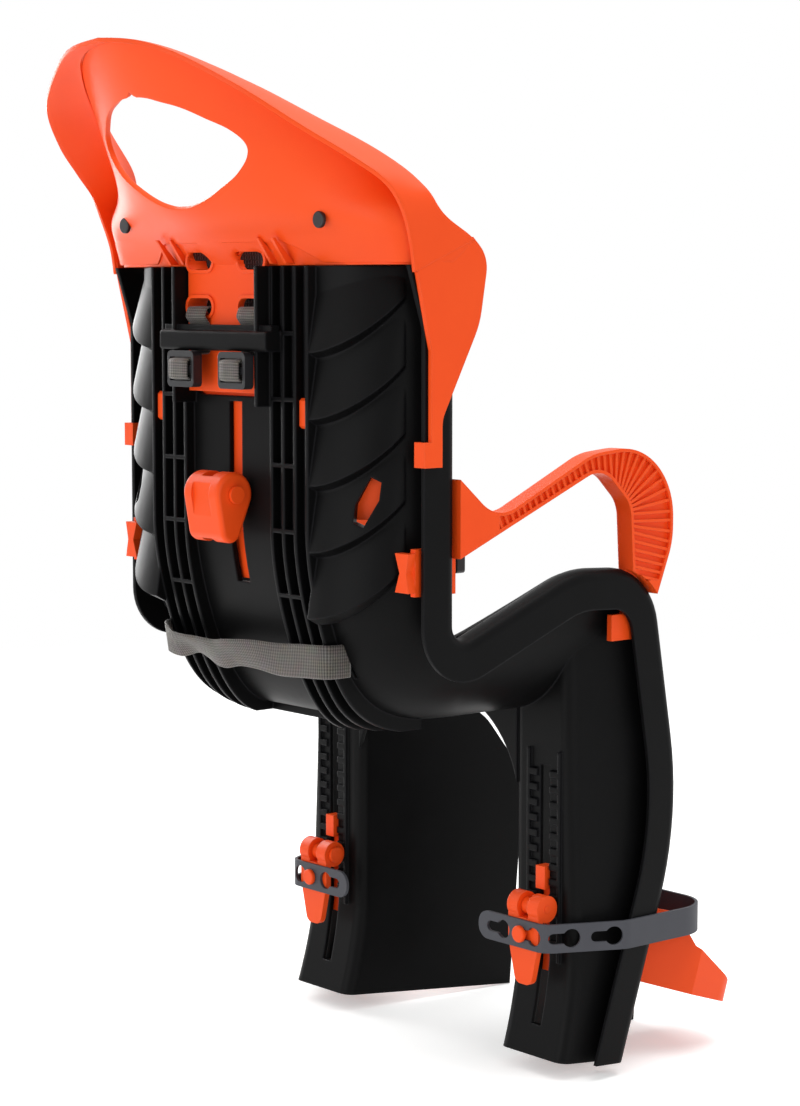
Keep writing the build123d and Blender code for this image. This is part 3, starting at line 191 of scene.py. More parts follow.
# glossy moulded ABS: the red release button
redButton = moulded("red_abs_moulded", {
    "deep": "#B0100C", "pale": "#C01812", "edge": "#D84A40", "rubAndHighlight": 0.3, "edgeMm": 0.6, "cloudMm": 15.0,
    "roughness": (0.18, 0.26), "grainMm": 0.6, "grain": 0.03, "ior": 1.54, "specular": 0.5,
})


def waveScale(pitchMm):
    # a wave texture of scale 1 repeats every pi / 10
    return math.pi / 10 * 1000 / pitchMm


def clothShine(shader, look):
    shader.inputs["Roughness"].default_value = look["roughness"]
    shader.inputs["Specular IOR Level"].default_value = look["specular"]
    shader.inputs["Sheen Weight"].default_value = look["sheen"]
    shader.inputs["Sheen Roughness"].default_value = look["sheenRoughness"]


def wovenWebbing(name, look):
    material, tree, shader = newMaterial(name)
    where = addNode(tree, "ShaderNodeUVMap", {"uv_map": "strap"}).outputs["UV"]
    ribs, threads = [
        addNode(tree, "ShaderNodeTexWave",
                {"bands_direction": way, "Scale": waveScale(look[pitch]), "Distortion": 0.0},
                {"Vector": where})
        for way, pitch in (("Y", "ribMm"), ("X", "threadMm"))]
    weave = addNode(tree, "ShaderNodeMix", {"data_type": "FLOAT", 0: look["threadShare"]},
                    {2: ribs.outputs["Fac"], 3: threads.outputs["Fac"]})
    fade = addNode(tree, "ShaderNodeTexNoise", {"Scale": 1000 / look["fadeMm"], "Detail": 2.0},
                   {"Vector": where})
    # painted shade and highlight: the colour runs from deep in the weave's grooves to pale on its ridges,
    # following the bump's relief
    weaveShadeAndHighlight = addNode(tree, "ShaderNodeMix",
                     {"data_type": "RGBA", 6: linear(look["deep"]), 7: linear(look["pale"])},
                     {0: weave.outputs[0]})
    colour = addNode(tree, "ShaderNodeMix", {"data_type": "RGBA", "blend_type": "MULTIPLY", 0: look["fade"]},
                     {6: weaveShadeAndHighlight.outputs[2], 7: fade.outputs["Color"]})
    bump = addNode(tree, "ShaderNodeBump", {"Strength": look["bump"], "Distance": look["depth"]},
                   {"Height": weave.outputs[0]})
    clothShine(shader, look)
    tree.links.new(colour.outputs[2], shader.inputs["Base Color"])
    tree.links.new(bump.outputs["Normal"], shader.inputs["Normal"])
    return material


# woven polyester webbing: grey-brown, with crosswise ribs, drawn a little coarse, that catch the light;
# their ridges are painted paler and their grooves darker, a painted highlight and shade
greyWebbing = wovenWebbing("grey_polyester_woven", {
    "deep": "#2C2825", "pale": "#76706A", "ribMm": 2.0, "threadMm": 2.4, "threadShare": 0.35, "fadeMm": 9.0,
    "fade": 0.35, "bump": 0.8, "depth": 0.0005, "roughness": 0.62, "specular": 0.3, "sheen": 0.25,
    "sheenRoughness": 0.4,
})


def knitFabric(name, look):
    material, tree, shader = newMaterial(name)
    where = addNode(tree, "ShaderNodeTexCoord").outputs["Object"]
    cells = addNode(tree, "ShaderNodeTexVoronoi",
                    {"feature": "DISTANCE_TO_EDGE", "Scale": 1000 / look["cellMm"],
                     "Randomness": look["uneven"]}, {"Vector": where})
    knit = addNode(tree, "ShaderNodeMapRange", {"From Max": look["yarn"]},
                   {"Value": cells.outputs["Distance"]})
    colour = addNode(tree, "ShaderNodeMix",
                     {"data_type": "RGBA", 6: linear(look["pale"]), 7: linear(look["deep"])},
                     {0: knit.outputs["Result"]})
    bump = addNode(tree, "ShaderNodeBump",
                   {"Strength": look["bump"], "Distance": look["depth"], "invert": True},
                   {"Height": knit.outputs["Result"]})
    clothShine(shader, look)
    tree.links.new(colour.outputs[2], shader.inputs["Base Color"])
    tree.links.new(bump.outputs["Normal"], shader.inputs["Normal"])
    return material


# knitted polyester mesh over foam: near black, dull, with open cells about 3 mm wide
blackKnit = knitFabric("black_polyester_knitted", {
    "deep": "#161618", "pale": "#2B2B2F", "cellMm": 3.2, "uneven": 0.35, "yarn": 0.25, "bump": 0.5,
    "depth": 0.0008, "roughness": 0.9, "specular": 0.2, "sheen": 0.35, "sheenRoughness": 0.5,
})
# bonded polyester thread: a mid grey line of stitches
stitchThread = moulded("grey_thread_bonded", {
    "deep": "#5A5A5C", "pale": "#6C6C6E", "edge": "#808080", "rubAndHighlight": 0.1, "edgeMm": 0.1, "cloudMm": 6.0,
    "roughness": (0.5, 0.6), "grainMm": 0.4, "grain": 0.05, "ior": 1.5, "specular": 0.3,
})
finishes = {"shell": blackPolypropylene, "orange": orangePolypropylene, "rubber": greyRubber,
            "webbing": greyWebbing, "hardware": blackNylon, "button": redButton, "foam": blackKnit}
for entry in frame["record"]["subparts"]:
    mesh = nodes[entry["node"]].data
    mesh.materials.clear()
    mesh.materials.append(finishes[entry["material_slot"]])
print("finishes:", len(bpy.data.materials))


def roundedRun(points, radii, step):
    # straight legs with round bends between them
    run = [Vector(points[0])]
    for before, corner, after, radius in zip(points, points[1:], points[2:], radii):
        corner = Vector(corner)
        back = (Vector(before) - corner).normalized()
        ahead = (Vector(after) - corner).normalized()
        half = back.angle(ahead) / 2
        centre = corner + (back + ahead).normalized() * (radius / math.sin(half))
        first = (corner + back * (radius / math.tan(half)) - centre).normalized()
        last = (corner + ahead * (radius / math.tan(half)) - centre).normalized()
        count = max(3, math.ceil(radius * (math.pi - 2 * half) / step))
        run += [centre + first.slerp(last, i / count).normalized() * radius for i in range(count + 1)]
    run.append(Vector(points[-1]))
    return evenly(run, step)


def evenly(run, step):
    # the same line with points about one step apart
    spaced = [run[0]]
    for start, end in zip(run, run[1:]):
        count = max(1, round((end - start).length / step))
        spaced += [start.lerp(end, (i + 1) / count) for i in range(count)]
    return [p for i, p in enumerate(spaced) if i == 0 or (p - spaced[i - 1]).length > 1e-6]


def smoothRun(stations, perSpan):
    # a smooth line through given stations, by Catmull-Rom; a station may hold more than a place
    padded = [stations[0], *stations, stations[-1]]
    run = []
    for a, b, c, d in zip(padded, padded[1:], padded[2:], padded[3:]):
        for i in range(perSpan):
            t = i / perSpan
            run.append([0.5 * (2 * q + (r - p) * t + (2 * p - 5 * q + 4 * r - s) * t * t
                               + (3 * q - p - 3 * r + s) * t ** 3) for p, q, r, s in zip(a, b, c, d)])
    return run + [list(stations[-1])]


def ribbon(name, run, across, width, thickness):
    # a flat band, sizes in mm, with softly rounded edges; its map "strap" holds metres across and along
    w, h = width / 2000, thickness / 2000
    section = [(-w + h, -h), (-w / 3, -h), (w / 3, -h), (w - h, -h), (w, 0),
               (w - h, h), (w / 3, h), (-w / 3, h), (-w + h, h), (-w, 0)]
    bm = bmesh.new()
    layer = bm.loops.layers.uv.new("strap")
    rings, lengths = [], [0.0]
    for i, point in enumerate(run):
        tangent = (run[min(i + 1, len(run) - 1)] - run[max(i - 1, 0)]).normalized()
        side = (across[i] - tangent * across[i].dot(tangent)).normalized()
        up = tangent.cross(side)
        rings.append([bm.verts.new(point + side * u + up * v) for u, v in section])
        if i:
            lengths.append(lengths[-1] + (point - run[i - 1]).length)
    n = len(section)
    for i in range(len(run) - 1):
        for k in range(n):
            corners = [(i, k), (i, (k + 1) % n), (i + 1, (k + 1) % n), (i + 1, k)]
            face = bm.faces.new([rings[a][b] for a, b in corners])
            face.smooth = True
            for loop, (a, b) in zip(face.loops, corners):
                loop[layer].uv = (section[b][0] + w, lengths[a])
    for i in (0, len(run) - 1):
        face = bm.faces.new(rings[i])
        for loop, (u, v) in zip(face.loops, section):
            loop[layer].uv = (u + w, lengths[i])
    bmesh.ops.recalc_face_normals(bm, faces=bm.faces)
    return newMesh(name, bm)


shoulderWebbing = {
    # side view of one strap's middle line in mm: from the lock, behind the bar, through the slot, down the
    # pad and to the tongue
    "route": ((-143.5, 259), (-143.5, 281.0), (-128.75, 281.6), (-128.75, 303), (-133.5, 309), (-131, 315.6),
              (-94.5, 316), (-94.5, 215.6), (61, 147.2), (61, 116)),
    "rounds": (2, 2, 4, 3, 2.5, 7, 60, 30), "width": 25, "thickness": 1.3, "step": 2.5,
    "stretch": (287, 313), "stretchY": -130,  # heights of the strap's span that lies along the sliding backrest
    # the tail that loops over the middle bar of the ladder lock
    "fold": ((-143.5, 278), (-149.6, 276.6), (-149.6, 263.4), (-143.5, 262)), "foldRounds": (2.2, 2.2),
    "foldWidth": 24, "foldStep": 1,
}
sideways, upwards = Vector((1, 0, 0)), Vector((0, 0, 1))


def sideRun(middleX, route, rounds, step):
    # a route in the side view, in mm, as places in metres
    run = roundedRun([Vector(p) / 1000 for p in route], [r / 1000 for r in rounds], step / 1000)
    return [Vector((middleX, p.x, p.y)) for p in run]


for side in ("right", "left"):
    look = shoulderWebbing
    low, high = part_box("shoulder_strap_" + side)
    middleX = (low.x + high.x) / 2
    run = sideRun(middleX, look["route"], look["rounds"], look["step"])
    mesh = ribbon("shoulder_webbing_" + side, run, [sideways] * len(run), look["width"], look["thickness"])
    strap = newPiece("shoulder_webbing_" + side, mesh, greyWebbing, None)
    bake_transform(strap)
    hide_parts("shoulder_strap_" + side)
    run = sideRun(middleX, look["fold"], look["foldRounds"], look["foldStep"])
    mesh = ribbon("lock_fold_" + side, run, [sideways] * len(run), look["foldWidth"], look["thickness"])
    newPiece("lock_fold_" + side, mesh, greyWebbing, "shell")

retainingWebbing = {
    # from the right slot to the left one, in mm: x, y, z of the middle and the band's tilt in degrees
    "stations": ((102, -93, 59, 0), (102, -106, 59, 0), (97, -114.5, 59, 0), (72, -115.5, 57.6, 0),
                 (46, -116, 56, 6), (20, -118, 57, 20), (-6, -119, 56, 30), (-27, -118, 53, 24),
                 (-48, -117, 55.5, 40), (-64, -117, 57, 50), (-82, -118, 55.5, 28), (-97, -115.5, 59, 8),
                 (-102, -106, 59, 0), (-102, -93, 59, 0)),
    "width": 25, "thickness": 1.9, "perSpan": 6,
}
stations = smoothRun(retainingWebbing["stations"], retainingWebbing["perSpan"])
run = [Vector(s[:3]) / 1000 for s in stations]
across = []
for i, station in enumerate(stations):
    ahead = (run[min(i + 1, len(run) - 1)] - run[max(i - 1, 0)]).normalized()
    outwards = ahead.cross(upwards)
    tilt = math.radians(station[3])
    across.append(upwards * math.cos(tilt) - outwards * math.sin(tilt))
mesh = ribbon("retaining_webbing", run, across, retainingWebbing["width"], retainingWebbing["thickness"])
retainer = newPiece("retaining_webbing", mesh, greyWebbing, "shell")
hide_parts("retaining_strap")

crotchWebbing = {
    "width": 25, "thickness": 1.9, "endGap": 1, "step": 3,
    "stop": (35, 10, 5), "stopRound": 1.8, "stopSteps": 3,  # the sewn-in bar under the pan
}
low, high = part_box("crotch_strap")
middleY = (low.y + high.y) / 2
run = evenly([Vector((0, middleY, low.z + crotchWebbing["endGap"] / 1000)), Vector((0, middleY, high.z))],
             crotchWebbing["step"] / 1000)
mesh = ribbon("crotch_webbing", run, [sideways] * len(run), crotchWebbing["width"],
              crotchWebbing["thickness"])
bm = bmesh.new()
bm.from_mesh(mesh)
made = bmesh.ops.create_cube(bm, size=1.0)["verts"]
size = Vector(crotchWebbing["stop"]) / 1000
for vert in made:
    vert.co = Vector((vert.co.x * size.x, middleY + vert.co.y * size.y, low.z + (vert.co.z + 0.5) * size.z))
barEdges = list({edge for vert in made for edge in vert.link_edges})
bmesh.ops.bevel(bm, geom=barEdges, offset=crotchWebbing["stopRound"] / 1000,
                segments=crotchWebbing["stopSteps"], affect="EDGES", profile=0.5)
bm.to_mesh(mesh)
bm.free()
crotch = newPiece("crotch_webbing", mesh, greyWebbing, "shell")
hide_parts("crotch_strap")
print("webbing: straps, folds and retaining band")

# the head: below the cut the panel keeps the solid's form, above it one smooth skin grows round the hole
headLook = {
    "cut": 366,  # mm, the panel below this height is kept
    # height, half width, rear at the middle, rear at the corner, front end of the plan, 0 boxy to 1 round
    "levels": ((340, 186.5, -122, -104.5, -25, 0), (352, 186.5, -135, -107, -36, 0),
               (366, 186.5, -150, -110, -49, 0), (386.5, 186, -172, -114, -62, 0.35),
               (425, 182, -190, -130, -22, 1), (465, 172, -211, -140, -35, 1),
               (510, 165, -234, -150, -50, 1), (530, 162, -244, -160, -55, 1)),
    # mm of plan over which a boxy corner is rounded, how soon that fades, and places taken each way
    "corner": 26, "cornerFade": 4, "cornerPlaces": 4,
    # degrees round the plan from the middle of the back, and the height of the skin's lower edge there: it
    # stays above the strap slots and laps the panel beside them
    "base": ((0, 363), (28, 363), (36, 348), (78, 348), (90, 364)), "baseStep": 3,
    # degrees and the rim's height there
    "rim": ((0, 505.5), (10, 502), (20, 493.5), (30, 481), (40, 463.5), (50, 441.5), (60, 421.5),
            (70, 405.5), (80, 391), (90, 366)),
    "holeCentre": 427, "holeArc": 3.0,  # its height, and mm of plan to a degree
    # direction from the hole's centre and its reach in mm, right half
    "hole": ((90, 38), (66, 41), (45, 47), (22, 63), (10, 78), (3, 84), (-3, 82), (-13, 72), (-27, 58),
             (-45, 48), (-66, 42), (-90, 40)),
    "notch": 4.5, "notchSlope": 0.9,  # the small peak in the hole's upper edge, in mm
    "levelSpan": 10, "edgeSpan": 6,  # points to a station up the head, and along the rim and the hole
    "rings": 24, "spacing": 0.85,  # rings from the hole to the rim, a little closer at the rim
    "wall": 4.0, "round": 1.4, "roundSteps": 3, "roundAngle": 50,
}


def headPlan(level, degrees):
    # x and y in mm at one angle round the plan of a level
    _, half, rear, corner, front, roundness = level
    share = abs(degrees) / 90
    turn = share * math.pi / 2
    roundX, roundY = half * math.sin(turn), front - (front - rear) * math.cos(turn)
    slant, side = math.dist((0, rear), (half, corner)), front - corner

    def boxAt(run):
        if run < 0:
            x, y = boxAt(-run)
            return -x, y
        if run < slant:
            return half * run / slant, rear + (corner - rear) * run / slant
        return half, corner + min(run - slant, side)

    # a rounded corner is the mean of places along the box
    places = headLook["cornerPlaces"]
    reach = headLook["corner"] * min(1, (1 - share) * headLook["cornerFade"])
    near = [boxAt(share * (slant + side) + reach * k / places) for k in range(-places, places + 1)]
    boxX, boxY = (sum(p[i] for p in near) / len(near) for i in (0, 1))
    x = boxX + (roundX - boxX) * roundness
    return math.copysign(x, degrees), boxY + (roundY - boxY) * roundness


def between(pairs, at):
    # the value at one place of a line through (place, value) pairs
    for (x0, y0), (x1, y1) in zip(pairs, pairs[1:]):
        if min(x0, x1) <= at <= max(x0, x1):
            return y0 + (y1 - y0) * (at - x0) / (x1 - x0)
    return pairs[-1][1]


headRuns = {}


def onHead(degrees, height):
    # the place in metres; the line up the head at each angle is worked out once
    key = round(degrees, 4)
    if key not in headRuns:
        plans = [(level[0], *headPlan(level, degrees)) for level in headLook["levels"]]
        headRuns[key] = smoothRun(plans, headLook["levelSpan"])
    x, y = (between([(p[0], p[i]) for p in headRuns[key]], height) for i in (1, 2))
    return Vector((x, y, height)) / 1000


def headSkin():
    rim, hole = ([tuple(p) for p in smoothRun(headLook[line], headLook["edgeSpan"])]
                 for line in ("rim", "hole"))
    arc, centre, cut, base = (headLook[key] for key in ("holeArc", "holeCentre", "cut", "base"))
    right = [(d, h) for d, h in rim if h > cut] + [(90, base[-1][1])]
    # the outer edge, once round: the rim from left to right, then back along the lower edge
    outer = [(-d, h) for d, h in reversed(right[1:])] + right
    step = headLook["baseStep"]
    outer += [(d, between(base, abs(d))) for d in range(90 - step, -90, -step)]
    bm = bmesh.new()
    rings = [[] for _ in range(headLook["rings"] + 1)]
    for degrees, height in outer:
        turn = math.degrees(math.atan2(height - centre, degrees * arc))
        inRight = turn if abs(turn) <= 90 else math.copysign(180 - abs(turn), turn)
        reach = between(hole, inRight)
        start = Vector((reach * math.cos(math.radians(turn)) / arc,
                        centre + reach * math.sin(math.radians(turn))))
        if turn > 0:
            start.y += max(0, headLook["notch"] - abs(start.x * arc) * headLook["notchSlope"])
        end = Vector((degrees, height))
        for k, ring in enumerate(rings):
            place = start.lerp(end, (k / headLook["rings"]) ** headLook["spacing"])
            ring.append(bm.verts.new(onHead(place.x, place.y)))
    count = len(outer)
    for low, high in zip(rings, rings[1:]):
        for i in range(count):
            j = (i + 1) % count
            bm.faces.new((low[i], low[j], high[j], high[i])).smooth = True
    bmesh.ops.recalc_face_normals(bm, faces=bm.faces)
    # the outward side is the one that faces back at the rim's middle
    rearmost = min(bm.faces, key=lambda face: face.calc_center_median().y)
    if rearmost.normal.y > 0:
        bmesh.ops.reverse_faces(bm, faces=bm.faces)
    return newMesh("head_scoop", bm)


flangeLook = {
    # the band that flares back from the rim, right half: degrees and height on the rim, then x, y, z of its
    # free edge in mm
    "edge": ((0, 505.5, 0, -239, 505), (12, 500.6, 40, -236, 501), (24, 489, 76, -225, 490),
             (38, 467.3, 122, -205, 465.5), (50, 441.5, 151, -176, 440), (60, 421.5, 170, -148, 420),
             (70, 405.5, 182, -126, 403), (80, 391, 186, -114, 384), (87, 376, 185.2, -106, 362),
             (90, 364, 185.05, -102.5, 341)),
    "edgeSpan": 8, "rows": 10, "cove": 5.0, "wall": 3.2, "sunk": 1.45, "round": 1.3,
}


def headFlange():
    half = smoothRun(flangeLook["edge"], flangeLook["edgeSpan"])
    stations = [(-d, h, -x, y, z) for d, h, x, y, z in reversed(half[1:])] + [tuple(s) for s in half]
    rows = flangeLook["rows"]
    bm = bmesh.new()
    columns = []
    for degrees, height, x, y, z in stations:
        inner = onHead(max(-90, min(90, degrees)), height)
        outer = Vector((x, y, z)) / 1000
        sideShare = abs(degrees) / 90
        # low down the band's outer face lies flush with the wing's
        inner.x -= math.copysign(flangeLook["sunk"] / 1000 * sideShare ** 4, degrees)
        column = []
        for k in range(rows + 1):
            t = k / rows
            point = inner.lerp(outer, t)
            point.y += flangeLook["cove"] / 1000 * 4 * t * (1 - t) * (1 - sideShare ** 2)
            column.append(bm.verts.new(point))
        columns.append(column)
    for near, far in zip(columns, columns[1:]):
        for k in range(rows):
            bm.faces.new((near[k], near[k + 1], far[k + 1], far[k])).smooth = True
    bmesh.ops.recalc_face_normals(bm, faces=bm.faces)
    return newMesh("head_flange", bm)


scoop = newPiece("head_scoop", headSkin(), orangePolypropylene, "backrest")
flange = newPiece("head_flange", headFlange(), orangePolypropylene, "backrest")
for piece, look, offset in ((scoop, headLook, -1), (flange, flangeLook, 0)):
    wall = piece.modifiers.new("wall", "SOLIDIFY")
    wall.thickness = look["wall"] / 1000
    wall.offset = offset
    rounding = piece.modifiers.new("edge", "BEVEL")
    rounding.width = look["round"] / 1000
    rounding.segments = headLook["roundSteps"]
    rounding.limit_method = "ANGLE"
    rounding.angle_limit = math.radians(headLook["roundAngle"])
    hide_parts("backrest")

bm = solidForm("backrest")
cutPlace = upwards * headLook["cut"] / 1000
cutRing = bmesh.ops.bisect_plane(bm, geom=bm.verts[:] + bm.edges[:] + bm.faces[:], plane_co=cutPlace,
                                 plane_no=upwards, clear_outer=True)
cutEdges = [part for part in cutRing["geom_cut"] if isinstance(part, bmesh.types.BMEdge)]
bmesh.ops.holes_fill(bm, edges=cutEdges)
mesh = newMesh("backrest_panel", bm)
lowerPanel = newPiece("backrest_panel", mesh, orangePolypropylene, "backrest")
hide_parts("backrest")
print("head:", len(scoop.data.polygons), "faces in the scoop")


def foamPad(name, node, body, settings):
    # a solid's form, swollen like foam in a cover on its open side and drawn in along the sewn channels
    pad = newPiece(name, newMesh(name, solidForm(node)), blackKnit, None)
    remesh = pad.modifiers.new("foam", "REMESH")
    remesh.mode = "VOXEL"
    remesh.voxel_size = settings["voxelMm"] / 1000
    pad.data = bpy.data.meshes.new_from_object(pad.evaluated_get(bpy.context.evaluated_depsgraph_get()))
    pad.modifiers.clear()
    rest = [v.co.copy() for v in pad.data.vertices]
    normals = [v.normal.copy() for v in pad.data.vertices]
    cloth = pad.modifiers.new("swell", "CLOTH")
    cloth.settings.use_pressure = True
    cloth.settings.uniform_pressure_force = settings["pressure"]
    cloth.settings.effector_weights.gravity = 0
    cloth.collision_settings.use_collision = False
    for step in range(1, settings["steps"] + 1):
        scene.frame_set(step)
    swollen = pad.evaluated_get(bpy.context.evaluated_depsgraph_get()).data
    moved = [v.co.copy() for v in swollen.vertices]
    pad.modifiers.clear()
    scene.frame_set(1)
    out, cap = Vector(settings["outwards"]), settings["capMm"] / 1000
    for vert, home, away, normal in zip(pad.data.vertices, rest, moved, normals):
        shift = away - home
        if shift.length > cap:
            shift = shift.normalized() * cap
        facing = max(0.0, normal.dot(out))
        vert.co = home + shift * facing * settings["open"](home) + out * facing * settings["sewn"](home)
    for face in pad.data.polygons:
        face.use_smooth = True
    subdivide = pad.modifiers.new("smooth", "SUBSURF")
    subdivide.levels = subdivide.render_levels = 1
    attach(pad, body)
    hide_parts(node)
    return pad


def groove(distance, width, depth):
    return -depth * math.exp(-(distance / width) ** 2)


padCommon = {"voxelMm": 4.5, "pressure": 4.0, "capMm": 4.0, "steps": 20, "fill": 0.7}
backPadLook = {
    # metres, sewn channels across the back
    "seams": (0.205, 0.245, 0.285), "seamWidth": 0.006, "seamDepth": 0.0035,
    "strapX": 0.032, "strapHalf": 0.018, "rowMm": range(-88, 89, 4),
}
seatPadLook = {"seams": (0.040, 0.075), "seamWidth": 0.006, "seamDepth": 0.003, "rowMm": range(-30, 93, 4)}


def channels(at, look):
    return sum(groove(at - seam, look["seamWidth"], look["seamDepth"]) for seam in look["seams"])


def backPadOpen(p):
    # the straps hold the foam down where they lie on it
    return 0.0 if abs(abs(p.x) - backPadLook["strapX"]) < backPadLook["strapHalf"] else 1.0


backPad = foamPad("back_cushion", "back_pad", "backrest", {
    **padCommon, "outwards": (0, 1, 0), "open": backPadOpen, "sewn": lambda p: channels(p.z, backPadLook),
})
seatPad = foamPad("seat_cushion", "seat_pad", "shell", {
    **padCommon, "outwards": (0, 0, 1), "open": lambda p: 1.0,
    "sewn": lambda p: channels(abs(p.x), seatPadLook),
})
print("pads:", len(backPad.data.vertices), len(seatPad.data.vertices), "points")


def stitchTree():
    # Geometry Nodes: short round stitches at an even pitch along a line
    tree = bpy.data.node_groups.new("stitch_row", "GeometryNodeTree")
    tree.interface.new_socket("Geometry", in_out="INPUT", socket_type="NodeSocketGeometry")
    for label in ("Pitch", "Length", "Thickness"):
        tree.interface.new_socket(label, in_out="INPUT", socket_type="NodeSocketFloat")
    tree.interface.new_socket("Thread", in_out="INPUT", socket_type="NodeSocketMaterial")
    tree.interface.new_socket("Geometry", in_out="OUTPUT", socket_type="NodeSocketGeometry")
    given = addNode(tree, "NodeGroupInput").outputs
    points = addNode(tree, "GeometryNodeCurveToPoints", {"mode": "LENGTH"},
                     {"Curve": given["Geometry"], "Length": given["Pitch"]})
    stitch = addNode(tree, "GeometryNodeMeshCylinder", {"Vertices": 6},
                     {"Radius": given["Thickness"], "Depth": given["Length"]})
    rows = addNode(tree, "GeometryNodeInstanceOnPoints", {}, {
        "Points": points.outputs["Points"], "Instance": stitch.outputs["Mesh"],
        "Rotation": points.outputs["Rotation"]})
    solid = addNode(tree, "GeometryNodeRealizeInstances", {}, {"Geometry": rows.outputs["Instances"]})
    coloured = addNode(tree, "GeometryNodeSetMaterial", {},
                       {"Geometry": solid.outputs["Geometry"], "Material": given["Thread"]})
    addNode(tree, "NodeGroupOutput", {}, {"Geometry": coloured.outputs["Geometry"]})
    return tree


stitchRow = stitchTree()
stitchSizes = {"Pitch": 0.0042, "Length": 0.0028, "Thickness": 0.00035}
stitchLay = {"drop": 0.05, "lift": 0.0001}  # metres, dropped from above the pad and left just over it


def stitchLines(name, lines, body):
    curve = bpy.data.curves.new(name, "CURVE")
    curve.dimensions = "3D"
    for line in lines:
        spline = curve.splines.new("POLY")
        spline.points.add(len(line) - 1)
        for point, place in zip(spline.points, line):
            point.co = (*place, 1.0)
    rows = bpy.data.objects.new(name + "_line", curve)
    scene.collection.objects.link(rows)
    sew = rows.modifiers.new("stitches", "NODES")
    sew.node_group = stitchRow
    for item in stitchRow.interface.items_tree:
        if item.in_out == "INPUT" and item.name in stitchSizes:
            sew[item.identifier] = stitchSizes[item.name]
        elif item.in_out == "INPUT" and item.name == "Thread":
            sew[item.identifier] = stitchThread
    mesh = bpy.data.meshes.new_from_object(rows.evaluated_get(bpy.context.evaluated_depsgraph_get()))
    bpy.data.objects.remove(rows)
    return newPiece(name, mesh, stitchThread, body)


def laidOn(pad, starts, direction):
    # each point is dropped on to the pad's finished surface
    surface = BVHTree.FromObject(pad, bpy.context.evaluated_depsgraph_get())
    hits = [surface.ray_cast(start, direction)[0] for start in starts]
    return [hit - direction * stitchLay["lift"] for hit in hits if hit is not None]


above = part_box("back_pad")[1].y + stitchLay["drop"]
lines = [laidOn(backPad, [Vector((x / 1000, above, z)) for x in backPadLook["rowMm"]], Vector((0, -1, 0)))
         for z in backPadLook["seams"]]
stitchLines("back_cushion_stitches", lines, "backrest")
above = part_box("seat_pad")[1].z + stitchLay["drop"]
lines = [laidOn(seatPad, [Vector((x * side, y / 1000, above)) for y in seatPadLook["rowMm"]], -upwards)
         for x in seatPadLook["seams"] for side in (-1, 1)]
stitchLines("seat_cushion_stitches", lines, "shell")
print("stitches laid")


studio = {
    "floorRadius": 3.0, "floorSides": 64, "floorGap": 0.0005, "fade": (1.0, 2.6),  # metres
    "floorColour": "#F7F7F6", "floorRoughness": 0.9, "floorLift": 0.35, "worldLight": 0.55,
    # name: place in metres, size in metres, watts
    "lamps": {
        "top": ((0.3, 0.3, 2.0), 1.6, 31.0),
        "left": ((-2.0, 0.2, 0.7), 1.4, 42.0),
        "back": ((-0.2, -2.2, 0.25), 1.4, 16.0),
        "right": ((2.3, -0.5, 0.5), 1.4, 9.0),
    },
    "aim": (0.0, 0.0, 0.1),
}


def seenRays(tree):
    # 1 for what is seen straight, in a shine or through a clear piece, and 0 for what only lights the object
    path = addNode(tree, "ShaderNodeLightPath").outputs
    seen = addNode(tree, "ShaderNodeMath", {"operation": "MAXIMUM"},
                   {0: path["Is Camera Ray"], 1: path["Is Glossy Ray"]})
    shown = addNode(tree, "ShaderNodeMath", {"operation": "MAXIMUM"},
                    {0: seen.outputs["Value"], 1: path["Is Transmission Ray"]})
    return shown.outputs["Value"]


world = bpy.data.worlds.new("studio")
scene.world = world
world.use_nodes = True
tree = world.node_tree
strength = addNode(tree, "ShaderNodeMapRange", {"To Min": studio["worldLight"], "To Max": 1.0},
                   {"Value": seenRays(tree)})
background = tree.nodes["Background"]
background.inputs["Color"].default_value = (1, 1, 1, 1)
tree.links.new(strength.outputs["Result"], background.inputs["Strength"])

bm = bmesh.new()
bmesh.ops.create_circle(bm, cap_ends=True, radius=studio["floorRadius"], segments=studio["floorSides"])
for vert in bm.verts:
    vert.co.z = cadBox[0].z - studio["floorGap"]
floorMesh = newMesh("floor", bm)
floor = bpy.data.objects.new("floor", floorMesh)
scene.collection.objects.link(floor)
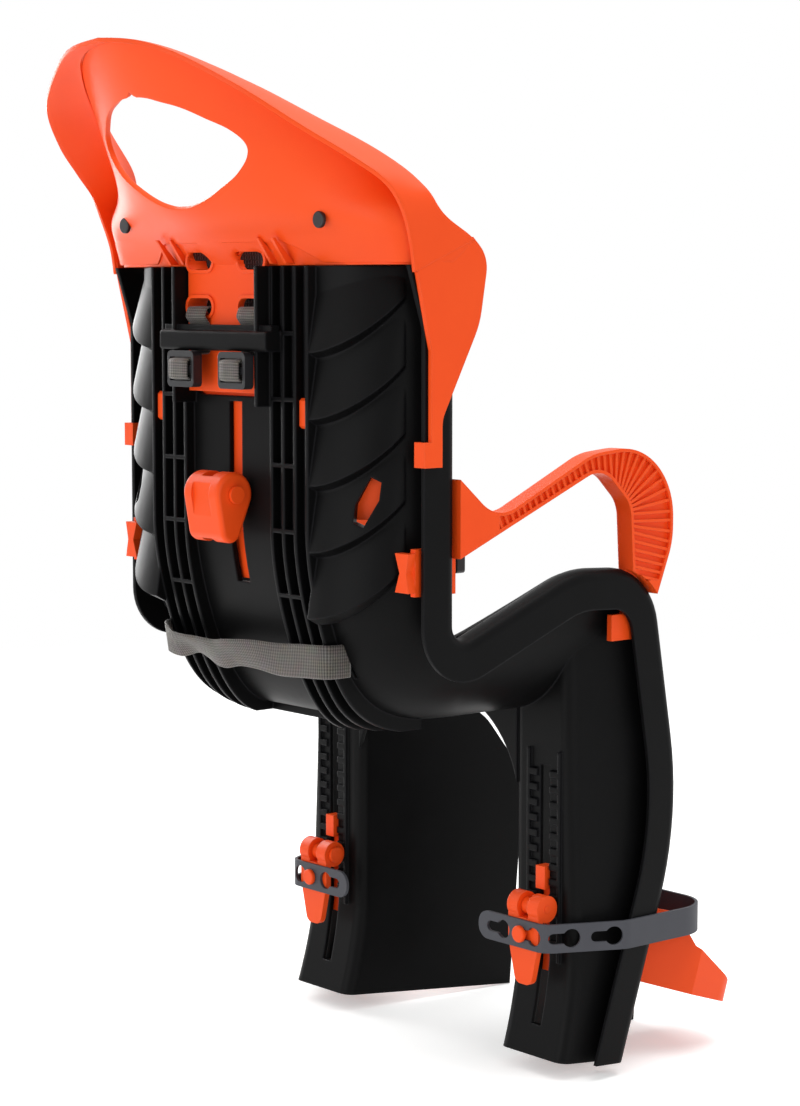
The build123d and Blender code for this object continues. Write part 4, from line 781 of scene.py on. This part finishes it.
# matt white paper that fades out at its edge: it shows the shadow and a little of the bounced colour
paper, tree, shader = newMaterial("white_paper_sweep")
shader.inputs["Base Color"].default_value = linear(studio["floorColour"])
shader.inputs["Roughness"].default_value = studio["floorRoughness"]
shader.inputs["Specular IOR Level"].default_value = 0.0
where = addNode(tree, "ShaderNodeTexCoord").outputs["Object"]
reach = addNode(tree, "ShaderNodeVectorMath", {"operation": "LENGTH"}, {0: where})
fade = addNode(tree, "ShaderNodeMapRange", {"From Min": studio["fade"][0], "From Max": studio["fade"][1]},
               {"Value": reach.outputs["Value"]})
# what the camera and shiny pieces see of the paper is lifted to white, and the shadow stays on it
lift = addNode(tree, "ShaderNodeMapRange", {"To Max": studio["floorLift"]}, {"Value": seenRays(tree)})
glow = addNode(tree, "ShaderNodeEmission", {}, {"Strength": lift.outputs["Result"]})
lit = addNode(tree, "ShaderNodeAddShader", {}, {0: shader.outputs[0], 1: glow.outputs[0]})
clear = addNode(tree, "ShaderNodeBsdfTransparent")
sweep = addNode(tree, "ShaderNodeMixShader", {},
                {0: fade.outputs["Result"], 1: lit.outputs[0], 2: clear.outputs[0]})
tree.links.new(sweep.outputs[0], tree.nodes["Material Output"].inputs["Surface"])
floorMesh.materials.append(paper)

for name, (place, size, watts) in studio["lamps"].items():
    lamp = bpy.data.lights.new("lamp_" + name, "AREA")
    lamp.size = size
    lamp.energy = watts
    holder = bpy.data.objects.new("lamp_" + name, lamp)
    holder.location = place
    holder.rotation_euler = (Vector(studio["aim"]) - Vector(place)).to_track_quat("-Z", "Y").to_euler()
    scene.collection.objects.link(holder)

cameraSet = {
    "place": (1.6016, -1.3036, 0.3294),  # behind the child's right shoulder, in metres
    "turn": (84.33, 0.0, 50.0), "lens": 86.58, "sensor": 36.0,
}
lens = bpy.data.cameras.new("photo_view")
lens.lens = cameraSet["lens"]
lens.sensor_width = cameraSet["sensor"]
eye = bpy.data.objects.new("photo_view", lens)
eye.location = cameraSet["place"]
eye.rotation_euler = [math.radians(a) for a in cameraSet["turn"]]
scene.collection.objects.link(eye)
scene.camera = eye
scene.view_settings.view_transform = "Standard"
print("studio ready")
